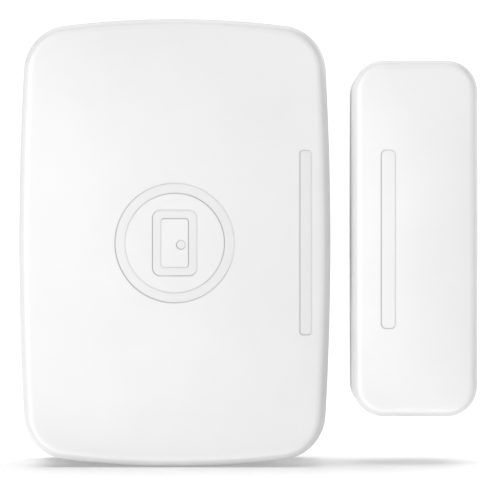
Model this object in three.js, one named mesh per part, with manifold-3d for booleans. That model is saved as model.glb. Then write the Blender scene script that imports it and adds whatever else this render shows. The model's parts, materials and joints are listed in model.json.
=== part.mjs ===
// Door contact sensor: a battery powered radio sensor for the door frame and a magnet unit for the door leaf.
// Millimetres, +Z up. The wall is the plane y = 0 and the room is towards -Y. The origin is the centre of the
// sensor's adhesive pad, on the wall. Everything below is drawn in a panel frame, x right, y up and z out of
// the wall, and the last group turns that frame into the part's own.
import * as THREE from "three";
import { mergeVertices } from "three/addons/utils/BufferGeometryUtils.js";
import Module from "manifold-3d";

const wasm = await Module();
wasm.setup();

// ---- Driving dimensions ------------------------------------------------------------------------------

const GAP = 0.2; // between plastic parts that meet
const TOUCH = 0.05; // between parts that bear on each other
const SINK = 0.2; // how far joined pieces reach into each other
const OVER = 0.01; // how far a cut runs past the face it opens
const PAD = 0.8; // foam tape thickness

const SENSOR = {
  halfWidth: 17.75,
  halfHeight: 25.5,
  sideRadius: 349, // bow of the long sides
  endRadius: 101, // bow of the short ends
  corner: 5.3,
  front: 14.5, // height of the face's middle above the wall
  crown: 1.9, // how far the face's edges fall back from its middle
  sidePower: 2,
  endPower: 3,
  fillet: 1.3,
  wall: 1.5,
  endSteps: 3,
};

const MAGNET = {
  halfWidth: 7.175,
  halfHeight: 20.4,
  sideRadius: 4000, // nearly straight
  endRadius: 1000,
  corner: 3.55,
  front: 12,
  crown: 0.9,
  sidePower: 2,
  endPower: 4,
  fillet: 1.1,
  wall: 1.3,
  endSteps: 1,
};
const MAGNET_PLACE = { x: 27.5, y: 0.48 };

const DEBOSS = 0.15; // depth of the marks in both faces
const SENSOR_LINE = { x: 15, y: 0, width: 1.3, height: 21.2, corner: 0.35 };
const MAGNET_LINE = { x: -3.07, y: -0.1, width: 1.6, height: 20.6, corner: 0.55 };
const EMBLEM = { x: 0.18, y: -0.16, outer: 6.73, inner: 5.61 };
const DOOR = { width: 5, height: 7.4, corner: 0.9, stroke: 0.95, innerCorner: 0.35 };
const KNOB = { radius: 0.5, x: 0.7, y: -0.2 }; // from the emblem's centre

const SENSOR_PAD = { width: 24, height: 30, corner: 2 };
const MAGNET_PAD = { width: 9, height: 25, corner: 1.5 };
const PLATE = { bottom: PAD + TOUCH, top: 2.65, inset: 0.3 };
const RAIL = { x: 14.7, base: 1.2, top: 2, height: 1.5, halfLength: 17, clearance: 0.25 };
const ROOF = { left: 12.8, right: 16.2, bottom: -19, top: 18.5 }; // over the groove for a rail
const FINGER = { x: 8.5, width: 5, top: -14, bottom: -21.5, slot: 0.8, bead: 0.65, beadRise: 0.2 };
const WALL_SCREW = { radius: 1.6, headRadius: 2.85, sink: 1.2, sensorY: 19.8, magnetY: 15.15 };

const HOUSING = {
  inset: 0.1,
  back: PLATE.top + 0.3,
  floor: 1.5,
  rim: 6,
  wall: 2.7,
  tongueTop: 7.5,
  tongueInset: 1.7,
  grooveRoof: 1.2,
};
HOUSING.floorTop = HOUSING.back + HOUSING.floor;
const COVER_RIM = HOUSING.rim + 0.15;
const SNAP = { halfLength: 4, rise: 0.1, top: HOUSING.tongueTop - 0.4, bottom: HOUSING.tongueTop - 0.8 };
const COVER_PINS = { radius: 0.8, places: [[-13.2, 10], [-13.2, -10], [10.4, 13], [10.4, -13]] };

const CELL = { x: 0, y: 6, radius: 12.25, bottom: 3.35, height: 5 }; // a 24.5 x 5 mm lithium coin cell
const WELL = { radius: CELL.radius + 0.3, wall: 0.85, top: 8.6, lip: 0.75, lipHalfWidth: 4 };
const PRY_NOTCH = { x: -9.4, y: -4.2, radius: 2.4, depth: 1 };
const CONTACT = { thickness: 0.2, halfWidth: 1.6, sideHalfWidth: 2.4, slotHalfWidth: 3.2 };

const BOARD = { halfWidth: 15.3, halfHeight: 22.8, corner: 4.2, bottom: 9.2, thickness: 1 };
BOARD.top = BOARD.bottom + BOARD.thickness;
const POST = { x: 11.2, y: 19.2, radius: 1.9, hole: 1, pin: 0.8 };
const SIDES = [-1, 1];
const CORNERS = SIDES.flatMap((sx) => SIDES.map((sy) => [sx, sy]));
const SCREWED = CORNERS.filter(([sx, sy]) => sx === sy); // the corners with a screw
const PINNED = CORNERS.filter(([sx, sy]) => sx !== sy); // and those with a locating pin
const SCREW = { headRadius: 1.7, headHeight: 1.1, shankRadius: 0.9, tip: 5.6 };
const NOTCH = { left: 12.6, halfHeight: 7.2 }; // in the board's right edge, for the reed switch

const BUTTON = {
  x: 8.5,
  y: -14.5,
  radius: 2,
  edge: 0.25,
  hole: 2.3,
  flange: 2.9,
  flangeThickness: 0.6,
  stem: 1,
  top: 6.6,
};
const SWITCH = { half: 2.25, bottom: 7.25, plunger: 1.1, plungerTop: 7.95, bore: 1.25, boreTop: 8.4 };
const REED = { x: 13.9, radius: 0.95, bore: 0.7, halfLength: 6.5, lead: 0.25, leadLength: 4, seal: 1.1 };
REED.z = BOARD.top + REED.lead + 0.02;
const BLADE = { halfWidth: 0.45, thickness: 0.16, gap: 0.03, overlap: 0.6 };
const LED = { y: -22.2, width: 1.6, depth: 0.8, height: 0.7 };
const PIPE = { radius: 0.75, flange: 1, z: 9.8 };

const CAN = { x: -5, y: -11.5, width: 12.4, height: 11, rise: 1.4, wall: 0.2 };

// Chips and the like on the board's front: centre, width, height and rise.
const RADIO_CHIP = { x: CAN.x - 1.2, y: CAN.y + 0.6, width: 6, height: 6, rise: 0.85 };
const CRYSTAL = { x: 3.6, y: -8.2, width: 3.2, height: 2.5, rise: 0.75 };
const MOTION_CHIP = { x: -4.5, y: 8.5, width: 3, height: 3, rise: 0.9 };
const REGULATOR = { x: 5, y: 2.2, width: 2.9, height: 2.4, rise: 1 };
const CAPACITOR = { x: 4.4, y: 10.6, width: 3.5, height: 2.8, rise: 1.8 };
const ANTENNA = { left: -12, right: 3, y: 20.6, thickness: 0.3, rise: 1.3, arm: 0.7, feed: -7.4, gap: 0.8 };

const BAR = { x: -2.4, width: 4.6, height: 22, thickness: 5 };
const MAGNET_BASE = { inset: 0.1, bottom: PAD + TOUCH, top: 3, tongueTop: 4.3, tongueWall: 0.8 };
const BAR_BOTTOM = MAGNET_BASE.top + 0.1;
const BAR_TOP = BAR_BOTTOM + BAR.thickness;
const CRADLE = { wall: 0.75, play: 0.06, low: 1.2, opening: 7, endOpening: 1.2 };
const FOAM_STRIP = { width: 4, height: 16, corner: 0.5 };

// ---- Solids ------------------------------------------------------------------------------------------

// A closed geometry as a solid that can be joined and cut.
function solid(geometry) {
  const bare = geometry.index ? geometry.toNonIndexed() : geometry.clone();
  for (const name of Object.keys(bare.attributes)) {
    if (name !== "position") bare.deleteAttribute(name);
  }
  const merged = mergeVertices(bare, 1e-4);
  const vertProperties = new Float32Array(merged.attributes.position.array);
  const triVerts = new Uint32Array(merged.index.array);
  return new wasm.Manifold(new wasm.Mesh({ numProp: 3, vertProperties, triVerts }));
}

// A solid's surface as a geometry.
function geometryOf(made) {
  const mesh = made.getMesh();
  const geometry = new THREE.BufferGeometry();
  geometry.setAttribute("position", new THREE.BufferAttribute(new Float32Array(mesh.vertProperties), 3));
  geometry.setIndex(new THREE.BufferAttribute(new Uint32Array(mesh.triVerts), 1));
  geometry.computeVertexNormals();
  return geometry;
}

const joined = (...solids) => solids.reduce((a, b) => a.add(b));
const cut = (from, ...tools) => tools.reduce((a, b) => a.subtract(b), from);

function rectangle(width, height, corner, x = 0, y = 0) {
  const [w, h, r] = [width / 2, height / 2, corner];
  const shape = new THREE.Shape();
  shape.absarc(x + w - r, y + h - r, r, 0, Math.PI / 2);
  shape.absarc(x - w + r, y + h - r, r, Math.PI / 2, Math.PI);
  shape.absarc(x - w + r, y - h + r, r, Math.PI, 1.5 * Math.PI);
  shape.absarc(x + w - r, y - h + r, r, 1.5 * Math.PI, 2 * Math.PI);
  return shape;
}

function circle(radius, x = 0, y = 0) {
  return new THREE.Shape().absarc(x, y, radius, 0, 2 * Math.PI);
}

const shapeOf = (points) => new THREE.Shape(points.map(([x, y]) => new THREE.Vector2(x, y)));

function extrude(shape, depth, curveSegments) {
  return new THREE.ExtrudeGeometry(shape, { depth, bevelEnabled: false, curveSegments });
}

// A shape in the panel's plane, from one height to another.
const prism = (shape, z0, z1, segments = 6) => extrude(shape, z1 - z0, segments).translate(0, 0, z0);

// An (x, z) section run along y, and a (y, z) section run along x.
const alongY = (section, y0, y1) => extrude(section, y1 - y0, 6).rotateX(Math.PI / 2).translate(0, y1, 0);
function alongX(section, x0, x1) {
  const turn = new THREE.Matrix4().makeBasis(
    new THREE.Vector3(0, 1, 0),
    new THREE.Vector3(0, 0, 1),
    new THREE.Vector3(1, 0, 0),
  );
  return extrude(section, x1 - x0, 6).applyMatrix4(turn).translate(x0, 0, 0);
}

function block(x0, x1, y0, y1, z0, z1) {
  const box = new THREE.BoxGeometry(x1 - x0, y1 - y0, z1 - z0);
  return box.translate((x0 + x1) / 2, (y0 + y1) / 2, (z0 + z1) / 2);
}

function cylinder(radius, z0, z1, x = 0, y = 0, segments = 24, topRadius = radius) {
  const made = new THREE.CylinderGeometry(topRadius, radius, z1 - z0, segments);
  return made.rotateX(Math.PI / 2).translate(x, y, (z0 + z1) / 2);
}

// A profile of [radius, height] points turned about the z axis, bottom centre first and counter-clockwise.
function turned(profile, x = 0, y = 0, segments = 48) {
  const points = profile.map(([r, z]) => new THREE.Vector2(r, z));
  return new THREE.LatheGeometry(points, segments).rotateX(Math.PI / 2).translate(x, y, 0);
}

// A bent strip of sheet metal as a section: a centre line of points with a thickness.
function strip(line, thickness) {
  const points = line.map(([x, y]) => new THREE.Vector2(x, y));
  const normals = points.map((p, i) => {
    const ahead = points[Math.min(i + 1, points.length - 1)];
    const behind = points[Math.max(i - 1, 0)];
    const along = ahead.clone().sub(behind).normalize();
    return new THREE.Vector2(-along.y, along.x).multiplyScalar(thickness / 2);
  });
  const left = points.map((p, i) => p.clone().add(normals[i]));
  const right = points.map((p, i) => p.clone().sub(normals[i]));
  return new THREE.Shape([...right, ...left.reverse()]);
}

// ---- The cases' outline and face ---------------------------------------------------------------------

const SIDE_STEPS = 3;
const CORNER_STEPS = 5;

// The four bowed edges and four round corners of a case, as arcs in order, drawn in by an inset.
function outline(form, inset = 0) {
  const { halfWidth: a, halfHeight: b, sideRadius: rs, endRadius: re, corner: r } = form;
  let [cx, cy] = [a - r, b - r]; // the corner's centre, where it is tangent to both bows
  for (let pass = 0; pass < 12; pass++) {
    cy = b - re + Math.sqrt((re - r) ** 2 - cx ** 2);
    cx = a - rs + Math.sqrt((rs - r) ** 2 - cy ** 2);
  }
  const side = Math.atan2(cy, cx - (a - rs));
  const end = Math.atan2(cy - (b - re), cx);
  const arcs = [];
  for (const [sx, sy, start] of [[1, 1, 0], [-1, 1, 1], [-1, -1, 2], [1, -1, 3]]) {
    const turn = (angle) => (start % 2 ? (start + 1) * (Math.PI / 2) - angle : start * (Math.PI / 2) + angle);
    const quarter = [
      { x: sx * (a - rs), y: 0, radius: rs, from: 0, to: side, steps: SIDE_STEPS },
      { x: sx * cx, y: sy * cy, radius: r, from: side, to: end, steps: CORNER_STEPS },
      { x: 0, y: sy * (b - re), radius: re, from: end, to: Math.PI / 2, steps: form.endSteps },
    ];
    const ordered = start % 2 ? quarter.reverse().map((q) => ({ ...q, from: q.to, to: q.from })) : quarter;
    arcs.push(...ordered.map((q) => ({ ...q, from: turn(q.from), to: turn(q.to) })));
  }
  return arcs.flatMap(({ x, y, radius, from, to, steps }) =>
    Array.from({ length: steps }, (_, i) => {
      const angle = from + ((to - from) * i) / steps;
      const reach = radius - inset;
      return new THREE.Vector2(x + reach * Math.cos(angle), y + reach * Math.sin(angle));
    }),
  );
}

const outlineShape = (form, inset) => new THREE.Shape(outline(form, inset));

// Height of a case's crowned face above the wall.
function faceHeight(form, x, y) {
  const across = 1 - Math.min(1, Math.abs(x / form.halfWidth)) ** form.sidePower;
  const along = 1 - Math.min(1, Math.abs(y / form.halfHeight)) ** form.endPower;
  return form.front - form.crown * (1 - across * along);
}

const OUTSIDE = { rings: [0.3, 0.6, 0.84, 1], filletSteps: 4 };
const INSIDE = { rings: [0.55, 1], filletSteps: 2 };

// Rings of points from the middle of a face, over its rounded edge and down its side to the rim.
function domeRings(form, inset, fillet, rim, { rings: scales, filletSteps }) {
  const rings = [];
  const flat = outline(form, inset + fillet);
  for (const scale of scales) {
    rings.push(
      flat.map(({ x, y }) => {
        const [px, py] = [x * scale, y * scale];
        return new THREE.Vector3(px, py, faceHeight(form, px, py) - inset);
      }),
    );
  }
  for (let step = filletSteps - 1; step >= 0; step--) {
    const angle = (step / filletSteps) * (Math.PI / 2);
    const drop = fillet * (1 - Math.sin(angle)) + inset;
    const loop = outline(form, inset + fillet * (1 - Math.cos(angle)));
    rings.push(loop.map(({ x, y }) => new THREE.Vector3(x, y, faceHeight(form, x, y) - drop)));
  }
  rings.push(outline(form, inset).map(({ x, y }) => new THREE.Vector3(x, y, rim)));
  return rings;
}

// Closes a run of rings with a point at each end.
function skin(first, rings, last) {
  const count = rings[0].length;
  const points = [first, ...rings.flat(), last];
  const at = (ring, i) => 1 + ring * count + (i % count);
  const faces = [];
  for (let i = 0; i < count; i++) {
    faces.push(0, at(0, i), at(0, i + 1));
    for (let ring = 0; ring + 1 < rings.length; ring++) {
      faces.push(at(ring, i), at(ring + 1, i), at(ring + 1, i + 1));
      faces.push(at(ring, i), at(ring + 1, i + 1), at(ring, i + 1));
    }
    faces.push(points.length - 1, at(rings.length - 1, i + 1), at(rings.length - 1, i));
  }
  const geometry = new THREE.BufferGeometry().setFromPoints(points);
  geometry.setIndex(faces);
  return geometry;
}

// A case's outer form as one block, and as a shell open towards the wall.
function domeBlock(form, rim) {
  const rings = domeRings(form, 0, form.fillet, rim, OUTSIDE);
  return skin(new THREE.Vector3(0, 0, form.front), rings, new THREE.Vector3(0, 0, rim));
}
function domeShell(form, rim) {
  const outside = domeRings(form, 0, form.fillet, rim, OUTSIDE);
  const inside = domeRings(form, form.wall, form.fillet / 2, rim, INSIDE).reverse();
  const [top, ceiling] = [form.front, form.front - form.wall];
  return skin(new THREE.Vector3(0, 0, top), [...outside, ...inside], new THREE.Vector3(0, 0, ceiling));
}

// Sinks outlines, each with the number of segments for its curves, into a crowned face to an even depth.
function debossed(shell, form, rim, marks) {
  const below = solid(domeBlock(form, rim - 1)).translate([0, 0, -DEBOSS]);
  const tools = marks.map(([shape, segments]) => {
    return cut(solid(prism(shape, rim, form.front + 1, segments)), below);
  });
  return cut(shell, ...tools);
}

// ---- Materials ---------------------------------------------------------------------------------------

function finish(color, roughness, metalness = 0) {
  return new THREE.MeshStandardMaterial({ color, roughness, metalness });
}
const CASE = finish(0xf1f1f1, 0.4);
const INNER_PLASTIC = finish(0xe6e6e4, 0.55);
const FOAM = finish(0x4a4c50, 0.9);
const LAMINATE = finish(0x1d6b3f, 0.5);
const CHIP = finish(0x222325, 0.6);
const STEEL = finish(0xc8cacd, 0.3, 1);
const TIN = finish(0xb9b8b0, 0.35, 1);
const NICKEL = finish(0xa9aaad, 0.4, 1);
const GLASS = finish(0xbfd9cf, 0.05);
const LENS = finish(0xf4f6f8, 0.1);
const RESIN = finish(0xc98b2b, 0.5);
const SEAL = finish(0x5c6066, 0.6);

function node(name, geometry, material) {
  const mesh = new THREE.Mesh(geometry, material);
  mesh.name = name;
  return mesh;
}

function group(members, x = 0, y = 0) {
  const made = new THREE.Group();
  made.position.set(x, y, 0);
  made.add(...members);
  return made;
}

// ---- The wall mount ----------------------------------------------------------------------------------

// A countersunk hole for a wall screw, beyond the end of the foam tape.
function wallScrewHole(y, top) {
  const { radius, headRadius, sink } = WALL_SCREW;
  const through = solid(cylinder(radius, 0, top + 1, 0, y));
  return joined(through, solid(cylinder(radius, top - sink, top + OVER, 0, y, 24, headRadius)));
}

const bothHoles = (y, top) => [-y, y].map((at) => wallScrewHole(at, top));

// One dovetail section, grown all round by a clearance.
function dovetail(x, clearance, bottom, top) {
  const [base, head] = [RAIL.base / 2 + clearance, RAIL.top / 2 + clearance];
  return shapeOf([[x - base, bottom], [x + base, bottom], [x + head, top], [x - head, top]]);
}

function adhesivePad({ width, height, corner }) {
  return prism(rectangle(width, height, corner), 0, PAD, 3);
}

// A springy finger cut free on three sides, with a bead that clicks against the housing.
function clickFinger() {
  const { x, width, top, bottom, slot, bead, beadRise } = FINGER;
  const [left, right] = [x - width / 2, x + width / 2];
  const above = PLATE.top + 1;
  const slots = [
    block(left - slot, left, bottom - slot, top, 0, above),
    block(right, right + slot, bottom - slot, top, 0, above),
    block(left - slot, right + slot, bottom - slot, bottom, 0, above),
  ];
  const section = circle(bead, bottom + 2 * bead, PLATE.top + beadRise - bead);
  return { slots: slots.map(solid), bead: solid(alongX(section, left + slot, right - slot)) };
}

function mountPlate() {
  const plate = solid(prism(outlineShape(SENSOR, PLATE.inset), PLATE.bottom, PLATE.top));
  const rails = [-RAIL.x, RAIL.x].map((x) => {
    const section = dovetail(x, 0, PLATE.top - SINK, PLATE.top + RAIL.height);
    return solid(alongY(section, -RAIL.halfLength, RAIL.halfLength));
  });
  const { slots, bead } = clickFinger();
  const holes = bothHoles(WALL_SCREW.sensorY, PLATE.top);
  return geometryOf(cut(joined(plate, ...rails, bead), ...slots, ...holes));
}

// ---- The sensor's body -------------------------------------------------------------------------------

// The block from x0 to x1, or its mirror image on the other side.
function sided(side, x0, x1, ...rest) {
  return side > 0 ? block(x0, x1, ...rest) : block(-x1, -x0, ...rest);
}

// The tray's floor and wall, with a tongue standing inside the wall for the front cover.
function housingShell() {
  const { inset, back, floorTop, rim, wall, tongueTop, tongueInset } = HOUSING;
  const inside = solid(prism(outlineShape(SENSOR, wall), floorTop, tongueTop + 1));
  const tray = solid(prism(outlineShape(SENSOR, inset), back, rim));
  const tongue = solid(prism(outlineShape(SENSOR, tongueInset), back + SINK, tongueTop));
  const out = SENSOR.halfWidth - tongueInset;
  const beads = SIDES.map((side) =>
    solid(sided(side, out - 0.5, out + SNAP.rise, -SNAP.halfLength, SNAP.halfLength, SNAP.bottom, SNAP.top)),
  );
  return cut(joined(tray, tongue, ...beads), inside);
}

// What stands on the tray's floor: the grooves' roofs, the cell's well and the board's posts.
function housingInsides() {
  const { floorTop, grooveRoof } = HOUSING;
  const roofs = SIDES.map((side) => {
    const { left, right, bottom, top } = ROOF;
    return solid(sided(side, left, right, bottom, top, floorTop - SINK, floorTop + grooveRoof));
  });
  const wall = solid(cylinder(WELL.radius + WELL.wall, floorTop - SINK, WELL.top, CELL.x, CELL.y, 48));
  const posts = CORNERS.map(([sx, sy]) =>
    solid(cylinder(POST.radius, floorTop - SINK, BOARD.bottom - TOUCH, sx * POST.x, sy * POST.y)),
  );
  const pins = PINNED.map(([sx, sy]) =>
    solid(cylinder(POST.pin, BOARD.bottom - 1, BOARD.top + 0.5, sx * POST.x, sy * POST.y, 16)),
  );
  return [...roofs, wall, ...posts, ...pins];
}

// Two lips under the edge of the cell keep it in its well.
function wellLips() {
  return SIDES.map((side) => {
    const chord = WELL.radius - WELL.lip;
    const span = side > 0 ? [CELL.y + chord, CELL.y + chord + 2] : [CELL.y - chord - 2, CELL.y - chord];
    return solid(block(-WELL.lipHalfWidth, WELL.lipHalfWidth, ...span, HOUSING.back, CELL.bottom - TOUCH));
  });
}

function rearHousing() {
  const { back, floorTop } = HOUSING;
  const grooves = [-RAIL.x, RAIL.x].map((x) => {
    const section = dovetail(x, RAIL.clearance, back - OVER, PLATE.top + RAIL.height + RAIL.clearance);
    return solid(alongY(section, -SENSOR.halfHeight - 1, RAIL.halfLength + TOUCH));
  });
  const well = solid(cylinder(WELL.radius, back - 1, WELL.top + 1, CELL.x, CELL.y, 48));
  const screwHoles = SCREWED.map(([sx, sy]) =>
    solid(cylinder(SCREW.shankRadius + 0.1, SCREW.tip - 0.3, BOARD.bottom, sx * POST.x, sy * POST.y, 16)),
  );
  const slot = CONTACT.slotHalfWidth;
  const wellEdge = CELL.y - WELL.radius;
  const contactSlot = solid(block(-slot, slot, wellEdge - 2.5, wellEdge + 1.5, floorTop, WELL.top + 1));
  const buttonHole = solid(cylinder(BUTTON.hole, back - 1, floorTop + 1, BUTTON.x, BUTTON.y));
  const { x, y, radius, depth } = PRY_NOTCH;
  const pryNotch = solid(cylinder(radius, back - 1, back + depth, x, y));
  const hollowed = cut(joined(housingShell(), ...housingInsides()), ...grooves, well, contactSlot, pryNotch);
  return geometryOf(cut(joined(hollowed, ...wellLips()), ...screwHoles, buttonHole));
}

// The positive can, the negative cap, the ring that keeps them apart and the pellets between them.
function coinCell() {
  const { x, y, radius: r, bottom, height } = CELL;
  const top = bottom + height;
  const sheet = 0.4;
  const can = [
    [0, bottom], [r - 0.5, bottom], [r, bottom + 0.5], [r, top - 0.75], [r - 0.45, top - 0.35],
    [r - 0.9, top - 0.35], [r - 0.9, top - 0.65], [r - sheet, top - 0.9], [r - sheet, bottom + sheet],
    [0, bottom + sheet],
  ];
  const cap = [
    [0, top - 0.35], [r - 2.3, top - 0.35], [r - 2.3, bottom + 0.75], [r - 1.9, bottom + 0.75],
    [r - 1.9, top - 0.25], [r - 2.2, top], [0, top],
  ];
  const seal = [
    [r - 1.8, bottom + 0.5], [r - 0.5, bottom + 0.5], [r - 0.5, top - 0.95], [r - 0.95, top - 0.75],
    [r - 0.95, top - 0.25], [r - 1.8, top - 0.25], [r - 1.8, bottom + 0.5],
  ];
  return [
    node("coin_cell_positive_can", turned(can, x, y), STEEL),
    node("coin_cell_negative_cap", turned(cap, x, y), STEEL),
    node("coin_cell_seal_ring", turned(seal, x, y), SEAL),
    node("coin_cell_pellets", cylinder(r - 2.4, bottom + 0.45, top - 0.4, x, y, 32), CHIP),
  ];
}

// A leaf spring under the board that presses on the cell's cap, and one that bears on the side of its can.
function batteryContacts() {
  const half = CONTACT.thickness / 2;
  const foot = BOARD.bottom - TOUCH - half;
  const capTouch = CELL.bottom + CELL.height + TOUCH + half;
  const leaf = [
    [-5.5, foot], [-2.6, foot], [-1.2, foot - 0.1], [1.6, capTouch], [2.6, capTouch], [3.8, foot - 0.3],
  ];
  const onCell = leaf.map(([y, z]) => [y + CELL.y, z]);
  const sideTouch = CELL.y - CELL.radius - TOUCH - half;
  const bow = 0.4;
  const [upper, lower] = [8.2, 5.2];
  const bracket = [
    [sideTouch - 2.6, foot], [sideTouch - 0.75, foot], [sideTouch - bow, foot - 0.35],
    [sideTouch - bow, upper], [sideTouch, upper - 0.9], [sideTouch, lower + 0.9], [sideTouch - bow, lower],
  ];
  const bent = (centreLine, width) => alongX(strip(centreLine, CONTACT.thickness), -width, width);
  return [
    node("battery_negative_contact", bent(onCell, CONTACT.halfWidth), NICKEL),
    node("battery_positive_contact", bent(bracket, CONTACT.sideHalfWidth), NICKEL),
  ];
}

function circuitBoard() {
  const { halfWidth, halfHeight, corner, bottom, top } = BOARD;
  const board = rectangle(2 * halfWidth, 2 * halfHeight, corner);
  board.holes.push(...CORNERS.map(([sx, sy]) => circle(POST.hole, sx * POST.x, sy * POST.y)));
  const notch = block(NOTCH.left, halfWidth + 1, -NOTCH.halfHeight, NOTCH.halfHeight, bottom - 1, top + 1);
  return geometryOf(cut(solid(prism(board, bottom, top)), solid(notch)));
}

function boardScrew([sx, sy]) {
  const [x, y] = [sx * POST.x, sy * POST.y];
  const under = BOARD.top + TOUCH;
  const { headRadius: head, headHeight: height, shankRadius: shank, tip } = SCREW;
  const profile = [
    [0, tip], [shank * 0.5, tip], [shank, tip + shank], [shank, under], [head, under],
    [head, under + height * 0.45], [head * 0.8, under + height * 0.85], [head * 0.4, under + height],
    [0, under + height],
  ];
  const cross = { length: 1.9, width: 0.42, depth: 0.55 };
  const driver = [0, Math.PI / 2].map((turn) => {
    const bar = new THREE.BoxGeometry(cross.length, cross.width, 2 * cross.depth).rotateZ(turn);
    return solid(bar.translate(x, y, under + height));
  });
  return geometryOf(cut(solid(turned(profile, x, y, 24)), ...driver));
}

const ON_BOARD = BOARD.top + TOUCH;

// A flat-topped part soldered to the board's front.
function tile({ x, y, width, height, rise }) {
  return prism(rectangle(width, height, 0.15, x, y), ON_BOARD, ON_BOARD + rise, 2);
}

function shieldCan() {
  const { x, y, width, height, rise, wall } = CAN;
  const outer = prism(rectangle(width, height, 0.8, x, y), ON_BOARD, ON_BOARD + rise, 3);
  const hollow = rectangle(width - 2 * wall, height - 2 * wall, 0.6, x, y);
  return geometryOf(cut(solid(outer), solid(prism(hollow, ON_BOARD - 1, ON_BOARD + rise - wall, 3))));
}

// A stamped strip on two legs along the board's upper edge.
function antennaStrip() {
  const { left, right, y, thickness, rise, arm, feed, gap } = ANTENNA;
  const [foot, under, top] = [ON_BOARD, ON_BOARD + arm, ON_BOARD + rise];
  const section = shapeOf([
    [left, top], [left, foot], [left + 1, foot], [left + 1, under], [feed - gap, under], [feed - gap, foot],
    [feed, foot], [feed, under], [right, under], [right, top],
  ]);
  return alongY(section, y, y + thickness);
}

function statusLed() {
  const [x, y] = [LED.width / 2, LED.depth / 2];
  return block(-x, x, LED.y - y, LED.y + y, ON_BOARD, ON_BOARD + LED.height);
}

// A glass capsule with two flat blades that overlap in its middle. The lower blade is the one that flexes.
function reedSwitch() {
  const { x, z, radius: r, bore, halfLength: half, lead, leadLength, seal } = REED;
  const mouth = lead + 0.07;
  const capsule = [
    [mouth, -half], [r - 0.25, -half], [r, -half + 0.4], [r, half - 0.4], [r - 0.25, half], [mouth, half],
    [mouth, half - 0.6], [bore, half - 1], [bore, -half + 1], [mouth, -half + 0.6], [mouth, -half],
  ];
  const upright = (geometry) => geometry.rotateX(-Math.PI / 2).translate(x, 0, z);
  const rod = (y0, y1) => upright(cylinder(lead, y0, y1, 0, 0, 12));
  const { halfWidth, thickness, gap, overlap } = BLADE;
  const [low, high] = [z - gap / 2, z + gap / 2];
  const root = half - seal;
  const sides = [x - halfWidth, x + halfWidth];
  const fixed = joined(
    solid(rod(root - SINK, half + leadLength)),
    solid(block(...sides, -overlap, root, high, high + thickness)),
  );
  return [
    node("reed_glass_capsule", upright(turned(capsule, 0, 0, 24)), GLASS),
    node("reed_fixed_blade", geometryOf(fixed), NICKEL),
    node("reed_lower_lead", rod(-half - leadLength, -root), NICKEL),
    node("reed_moving_blade", block(...sides, -root + 0.1, overlap, low - thickness, low), NICKEL),
  ];
}

function tactSwitchBody() {
  const { half, bottom, bore, boreTop } = SWITCH;
  const body = prism(rectangle(2 * half, 2 * half, 0.3, BUTTON.x, BUTTON.y), bottom, BOARD.bottom - TOUCH, 3);
  return geometryOf(cut(solid(body), solid(cylinder(bore, bottom - 1, boreTop, BUTTON.x, BUTTON.y, 20))));
}

function tactSwitchPlunger() {
  return cylinder(SWITCH.plunger, BUTTON.top + TOUCH, SWITCH.plungerTop, BUTTON.x, BUTTON.y, 20);
}

function pairingButton() {
  const { x, y, radius, edge, flange, flangeThickness, stem, top } = BUTTON;
  const { back, floorTop } = HOUSING;
  const lift = floorTop + TOUCH;
  const profile = [
    [0, back], [radius - edge, back], [radius, back + edge], [radius, lift], [flange, lift],
    [flange, lift + flangeThickness], [stem, lift + flangeThickness], [stem, top], [0, top],
  ];
  return turned(profile, x, y, 32);
}

// ---- The front cover ---------------------------------------------------------------------------------

// A door with its frame and knob, in a ring.
function emblem() {
  const { x, y, outer, inner } = EMBLEM;
  const ring = circle(outer, x, y);
  ring.holes.push(circle(inner, x, y));
  const { width, height, stroke, corner, innerCorner } = DOOR;
  const door = rectangle(width, height, corner, x, y);
  door.holes.push(rectangle(width - 2 * stroke, height - 2 * stroke, innerCorner, x, y));
  return [[ring, 18], [door, 2], [circle(KNOB.radius, x + KNOB.x, y + KNOB.y), 6]];
}

const line = ({ x, y, width, height, corner }) => [rectangle(width, height, corner, x, y), 2];

function frontCover() {
  const marks = [...emblem(), line(SENSOR_LINE)];
  const shell = debossed(solid(domeShell(SENSOR, COVER_RIM)), SENSOR, COVER_RIM, marks);
  const pins = COVER_PINS.places.map(([x, y]) => {
    const ceiling = faceHeight(SENSOR, x, y) - SENSOR.wall / 2;
    return solid(cylinder(COVER_PINS.radius, BOARD.top + 0.15, ceiling, x, y, 12));
  });
  const bore = cylinder(PIPE.radius + TOUCH, 0, 3, 0, 0, 20).rotateX(Math.PI / 2);
  const pipeHole = solid(bore.translate(0, -SENSOR.halfHeight + 2, PIPE.z));
  return geometryOf(cut(joined(shell, ...pins), pipeHole));
}

function lightPipe() {
  const out = SENSOR.halfHeight - 0.12;
  const shoulder = SENSOR.halfHeight - SENSOR.wall - TOUCH;
  const inner = shoulder - 0.5;
  const profile = [
    [0, -out], [PIPE.radius, -out], [PIPE.radius, -shoulder], [PIPE.flange, -shoulder], [PIPE.flange, -inner],
    [0, -inner],
  ];
  return turned(profile, 0, 0, 20).rotateX(-Math.PI / 2).translate(0, 0, PIPE.z);
}

// ---- The magnet unit ---------------------------------------------------------------------------------

// A low wall all round the bar, higher at its four corners.
function cradle() {
  const { wall, play, low, opening, endOpening } = CRADLE;
  const [w, h] = [BAR.width / 2 + play, BAR.height / 2 + play];
  const floor = MAGNET_BASE.top;
  return cut(
    solid(block(BAR.x - w - wall, BAR.x + w + wall, -h - wall, h + wall, floor - SINK, BAR_TOP - 1)),
    solid(block(BAR.x - w, BAR.x + w, -h, h, floor, BAR_TOP)),
    solid(block(BAR.x - endOpening, BAR.x + endOpening, -h - 2, h + 2, floor + low, BAR_TOP)),
    solid(block(BAR.x - w - 2, BAR.x + w + 2, -opening, opening, floor + low + 0.2, BAR_TOP)),
  );
}

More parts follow.
